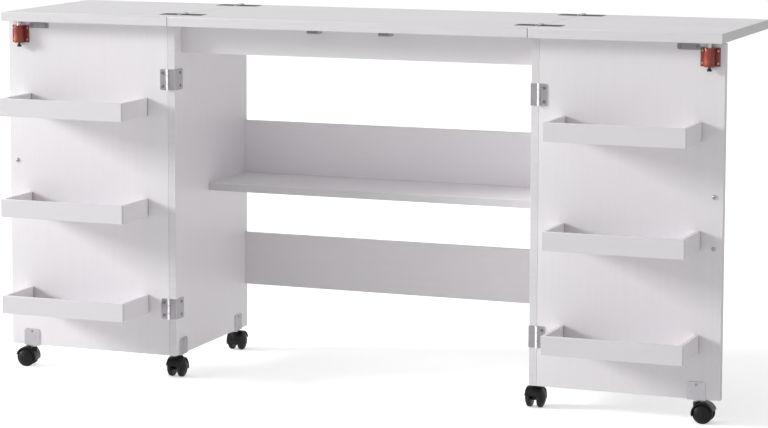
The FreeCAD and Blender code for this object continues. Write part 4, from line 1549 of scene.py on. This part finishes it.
    def hood(self) -> None:
        """Arched hood, its web, hub and kingpin boss."""
        axle = self.axle() @ AXLE_TURN
        arch = axle @ UPSIDE_DOWN
        web = rod(self.hood_inner + self.hood_wall / 2, -self.web_half, self.web_half)
        hub = rod(self.hub_radius, -self.web_half, self.web_half)
        stock = Stock()
        stock.turned(self.hood_section(), arch, Face.MAIN, self.hood_sides, self.hood_sweep, True)
        stock.turned(web, arch, Face.MAIN, self.hood_sides, self.hood_sweep)
        stock.turned(hub, axle, Face.MAIN, self.hub_sides)
        stock.turned(self.boss_profile(), self.place(), Face.MAIN, self.hub_sides)
        item = stock.piece(f"{self.name}_hood_shell", [HOOD_BLACK])
        stand_for(item, f"{self.name}_caster_hood")

    def washer(self) -> None:
        """Bright thrust washer between hood and bracket."""
        high = self.boss_top
        low = high - self.washer_height
        wide = self.washer_radius
        lip = self.washer_lip
        profile = [(0.0, low), (wide - lip, low), (wide, low + lip),
                   (wide, high - lip), (wide - lip, high), (0.0, high)]
        stock = Stock()
        stock.turned(profile, self.place(), Face.MAIN, self.washer_sides)
        item = stock.piece(f"{self.name}_caster_washer", [BRIGHT_STEEL])
        fix_to(item, f"{self.name}_caster")

    def build(self) -> None:
        """Make the whole caster."""
        self.hood()
        self.wheels()
        self.washer()


@dataclass
class Brackets:
    """Pressed brackets that carry the casters and straddle the foot of a panel."""

    top: float = 78 * MM
    plate: float = 1.5 * MM
    ease: float = 0.3 * MM
    screw: Screw = Screw(2.6 * MM, 0.9 * MM)
    screw_drop: float = 5.5 * MM
    screw_turn: float = 0.5

    def screws(self, casters: Sequence[str], body: str, name: str) -> None:
        """One screw near the top of each flange of some brackets.

        Args:
            casters: Casters whose brackets are screwed.
            body: Body that carries the brackets.
            name: Name of the piece.
        """
        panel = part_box("right_side_panel")
        half = (panel[1].x - panel[0].x) / 2 + self.plate
        places = []
        for caster in casters:
            spot = Vector(JOINTS[caster + SWIVEL]["pos_m"])
            across = TOWARDS_FRONT if caster.endswith("door") else TOWARDS_RIGHT
            for way in (across, -across):
                place = spot + way * half + UP * (self.top - self.screw_drop)
                places.append(aimed(place, way, self.screw_turn))
        fasten(name, self.screw, places, ZINC, body)

    def build(self) -> None:
        """Make the brackets and their screws."""
        dress("cabinet_caster_brackets", self.ease, ZINC, ZINC_LIGHTER_EDGE)
        under_cabinet = [caster for caster in CASTERS if not caster.endswith("door")]
        self.screws(under_cabinet, "cabinet", "cabinet_bracket_screws")
        for hand in Hand:
            door = hand.name_of("door")
            dress(hand.name_of("door_bracket"), self.ease, PALE_ZINC, ZINC_LIGHTER_EDGE)
            self.screws([door], door, hand.name_of("door_bracket_screws"))


@dataclass
class Studio:
    """Pale floor, soft light and the camera."""

    floor_half: float = 60.0
    floor_colour: Colour = (0.9, 0.9, 0.9)
    floor_mottle: Noise = Noise(2.0, 3)
    floor_stops: Pairs = ((0.3, 0.985), (0.7, 1.0))
    floor_rough: float = 0.9
    floor_glow: float = 0.45
    sky_left: float = 1.0
    sky_right: float = 0.19
    key_place: Spot = (-9.794, -3.76, 3.708)
    key_size: float = 2.4
    key_watts: float = 1070.0
    aim: Spot = (0.0, 0.0, 0.4)
    camera_place: Spot = (1.8881, -4.9349, 1.1217)
    camera_yaw: float = 22.065
    camera_pitch: float = 6.488
    camera_lens: float = 126.36
    camera_sensor: float = 36.0
    camera_shift: tuple[float, float] = (0.0868, -0.12)

    def floor(self) -> None:
        """Large pale floor that keeps the table's shadow."""
        half = self.floor_half
        corners = [(-half, -half, 0), (half, -half, 0), (half, half, 0), (-half, half, 0)]
        mesh = bpy.data.meshes.new("floor")
        mesh.from_pydata(corners, [], [(0, 1, 2, 3)])
        surface = Surface("pale_floor")
        tint = surface.tones(self.floor_mottle, self.floor_colour, self.floor_stops)
        surface.feed("Base Color", tint)
        settle(surface.shader, Roughness=self.floor_rough, Specular_IOR_Level=0.0,
               Emission_Color=WHITE)
        strength = surface.node("Math")
        strength.operation = "MULTIPLY"
        strength.inputs[1].default_value = self.floor_glow
        surface.wire(surface.seen(), strength.inputs[0])
        surface.feed("Emission Strength", strength.outputs["Value"])
        mesh.materials.append(surface.material)
        linked("floor", mesh)

    def world(self) -> None:
        """Soft sky, brighter on the left, that looks white where it is seen."""
        world = bpy.data.worlds.new("studio")
        bpy.context.scene.world = world
        graph = Graph(world)
        light = graph.nodes["Background"]
        settle(light, Color=WHITE)
        shown = graph.node("Background", Color=WHITE, Strength=1.0)
        split = graph.node("SeparateXYZ")
        slope = graph.node("MapRange", From_Min=-1.0, To_Min=self.sky_left, To_Max=self.sky_right)
        graph.wire(graph.node("TexCoord").outputs["Generated"], split.inputs["Vector"])
        graph.wire(split.outputs["X"], slope.inputs["Value"])
        graph.wire(slope.outputs["Result"], light.inputs["Strength"])
        mix = graph.node("MixShader")
        graph.wire(graph.seen(), mix.inputs["Fac"])
        graph.wire(light.outputs["Background"], mix.inputs[1])
        graph.wire(shown.outputs["Background"], mix.inputs[2])
        graph.wire(mix.outputs["Shader"], graph.nodes["World Output"].inputs["Surface"])

    def key_light(self) -> None:
        """Large soft lamp, far to the left, above and a little in front."""
        lamp = bpy.data.lights.new("key", "AREA")
        lamp.energy = self.key_watts
        lamp.size = self.key_size
        away = Vector(self.key_place) - Vector(self.aim)
        linked("key", lamp).matrix_world = aimed(self.key_place, away)

    def camera(self) -> None:
        """Camera at the photograph's angle."""
        lens = bpy.data.cameras.new("camera")
        lens.sensor_width = self.camera_sensor
        lens.lens = self.camera_lens
        lens.shift_x, lens.shift_y = self.camera_shift
        lens.clip_end = 2 * self.floor_half
        item = linked("camera", lens)
        item.location = self.camera_place
        tilt = math.radians(90 - self.camera_pitch)
        item.rotation_euler = (tilt, 0.0, math.radians(self.camera_yaw))
        bpy.context.scene.camera = item

    def build(self) -> None:
        """Set the stage."""
        self.floor()
        self.world()
        self.key_light()
        self.camera()
        bpy.context.scene.view_settings.view_transform = "Standard"


def main() -> None:
    """Build the table piece by piece, then the stage; each piece's face count is logged."""
    logging.basicConfig(level=logging.INFO, format="%(name)s %(message)s")
    Worktop().build()
    Cabinet().build()
    for hand in Hand:
        Door(hand).build()
        SpringBolt(hand).build()
    Catches().build()
    for name in CASTERS:
        Caster(name).build()
    Brackets().build()
    Studio().build()


if __name__ == "__main__":
    main()
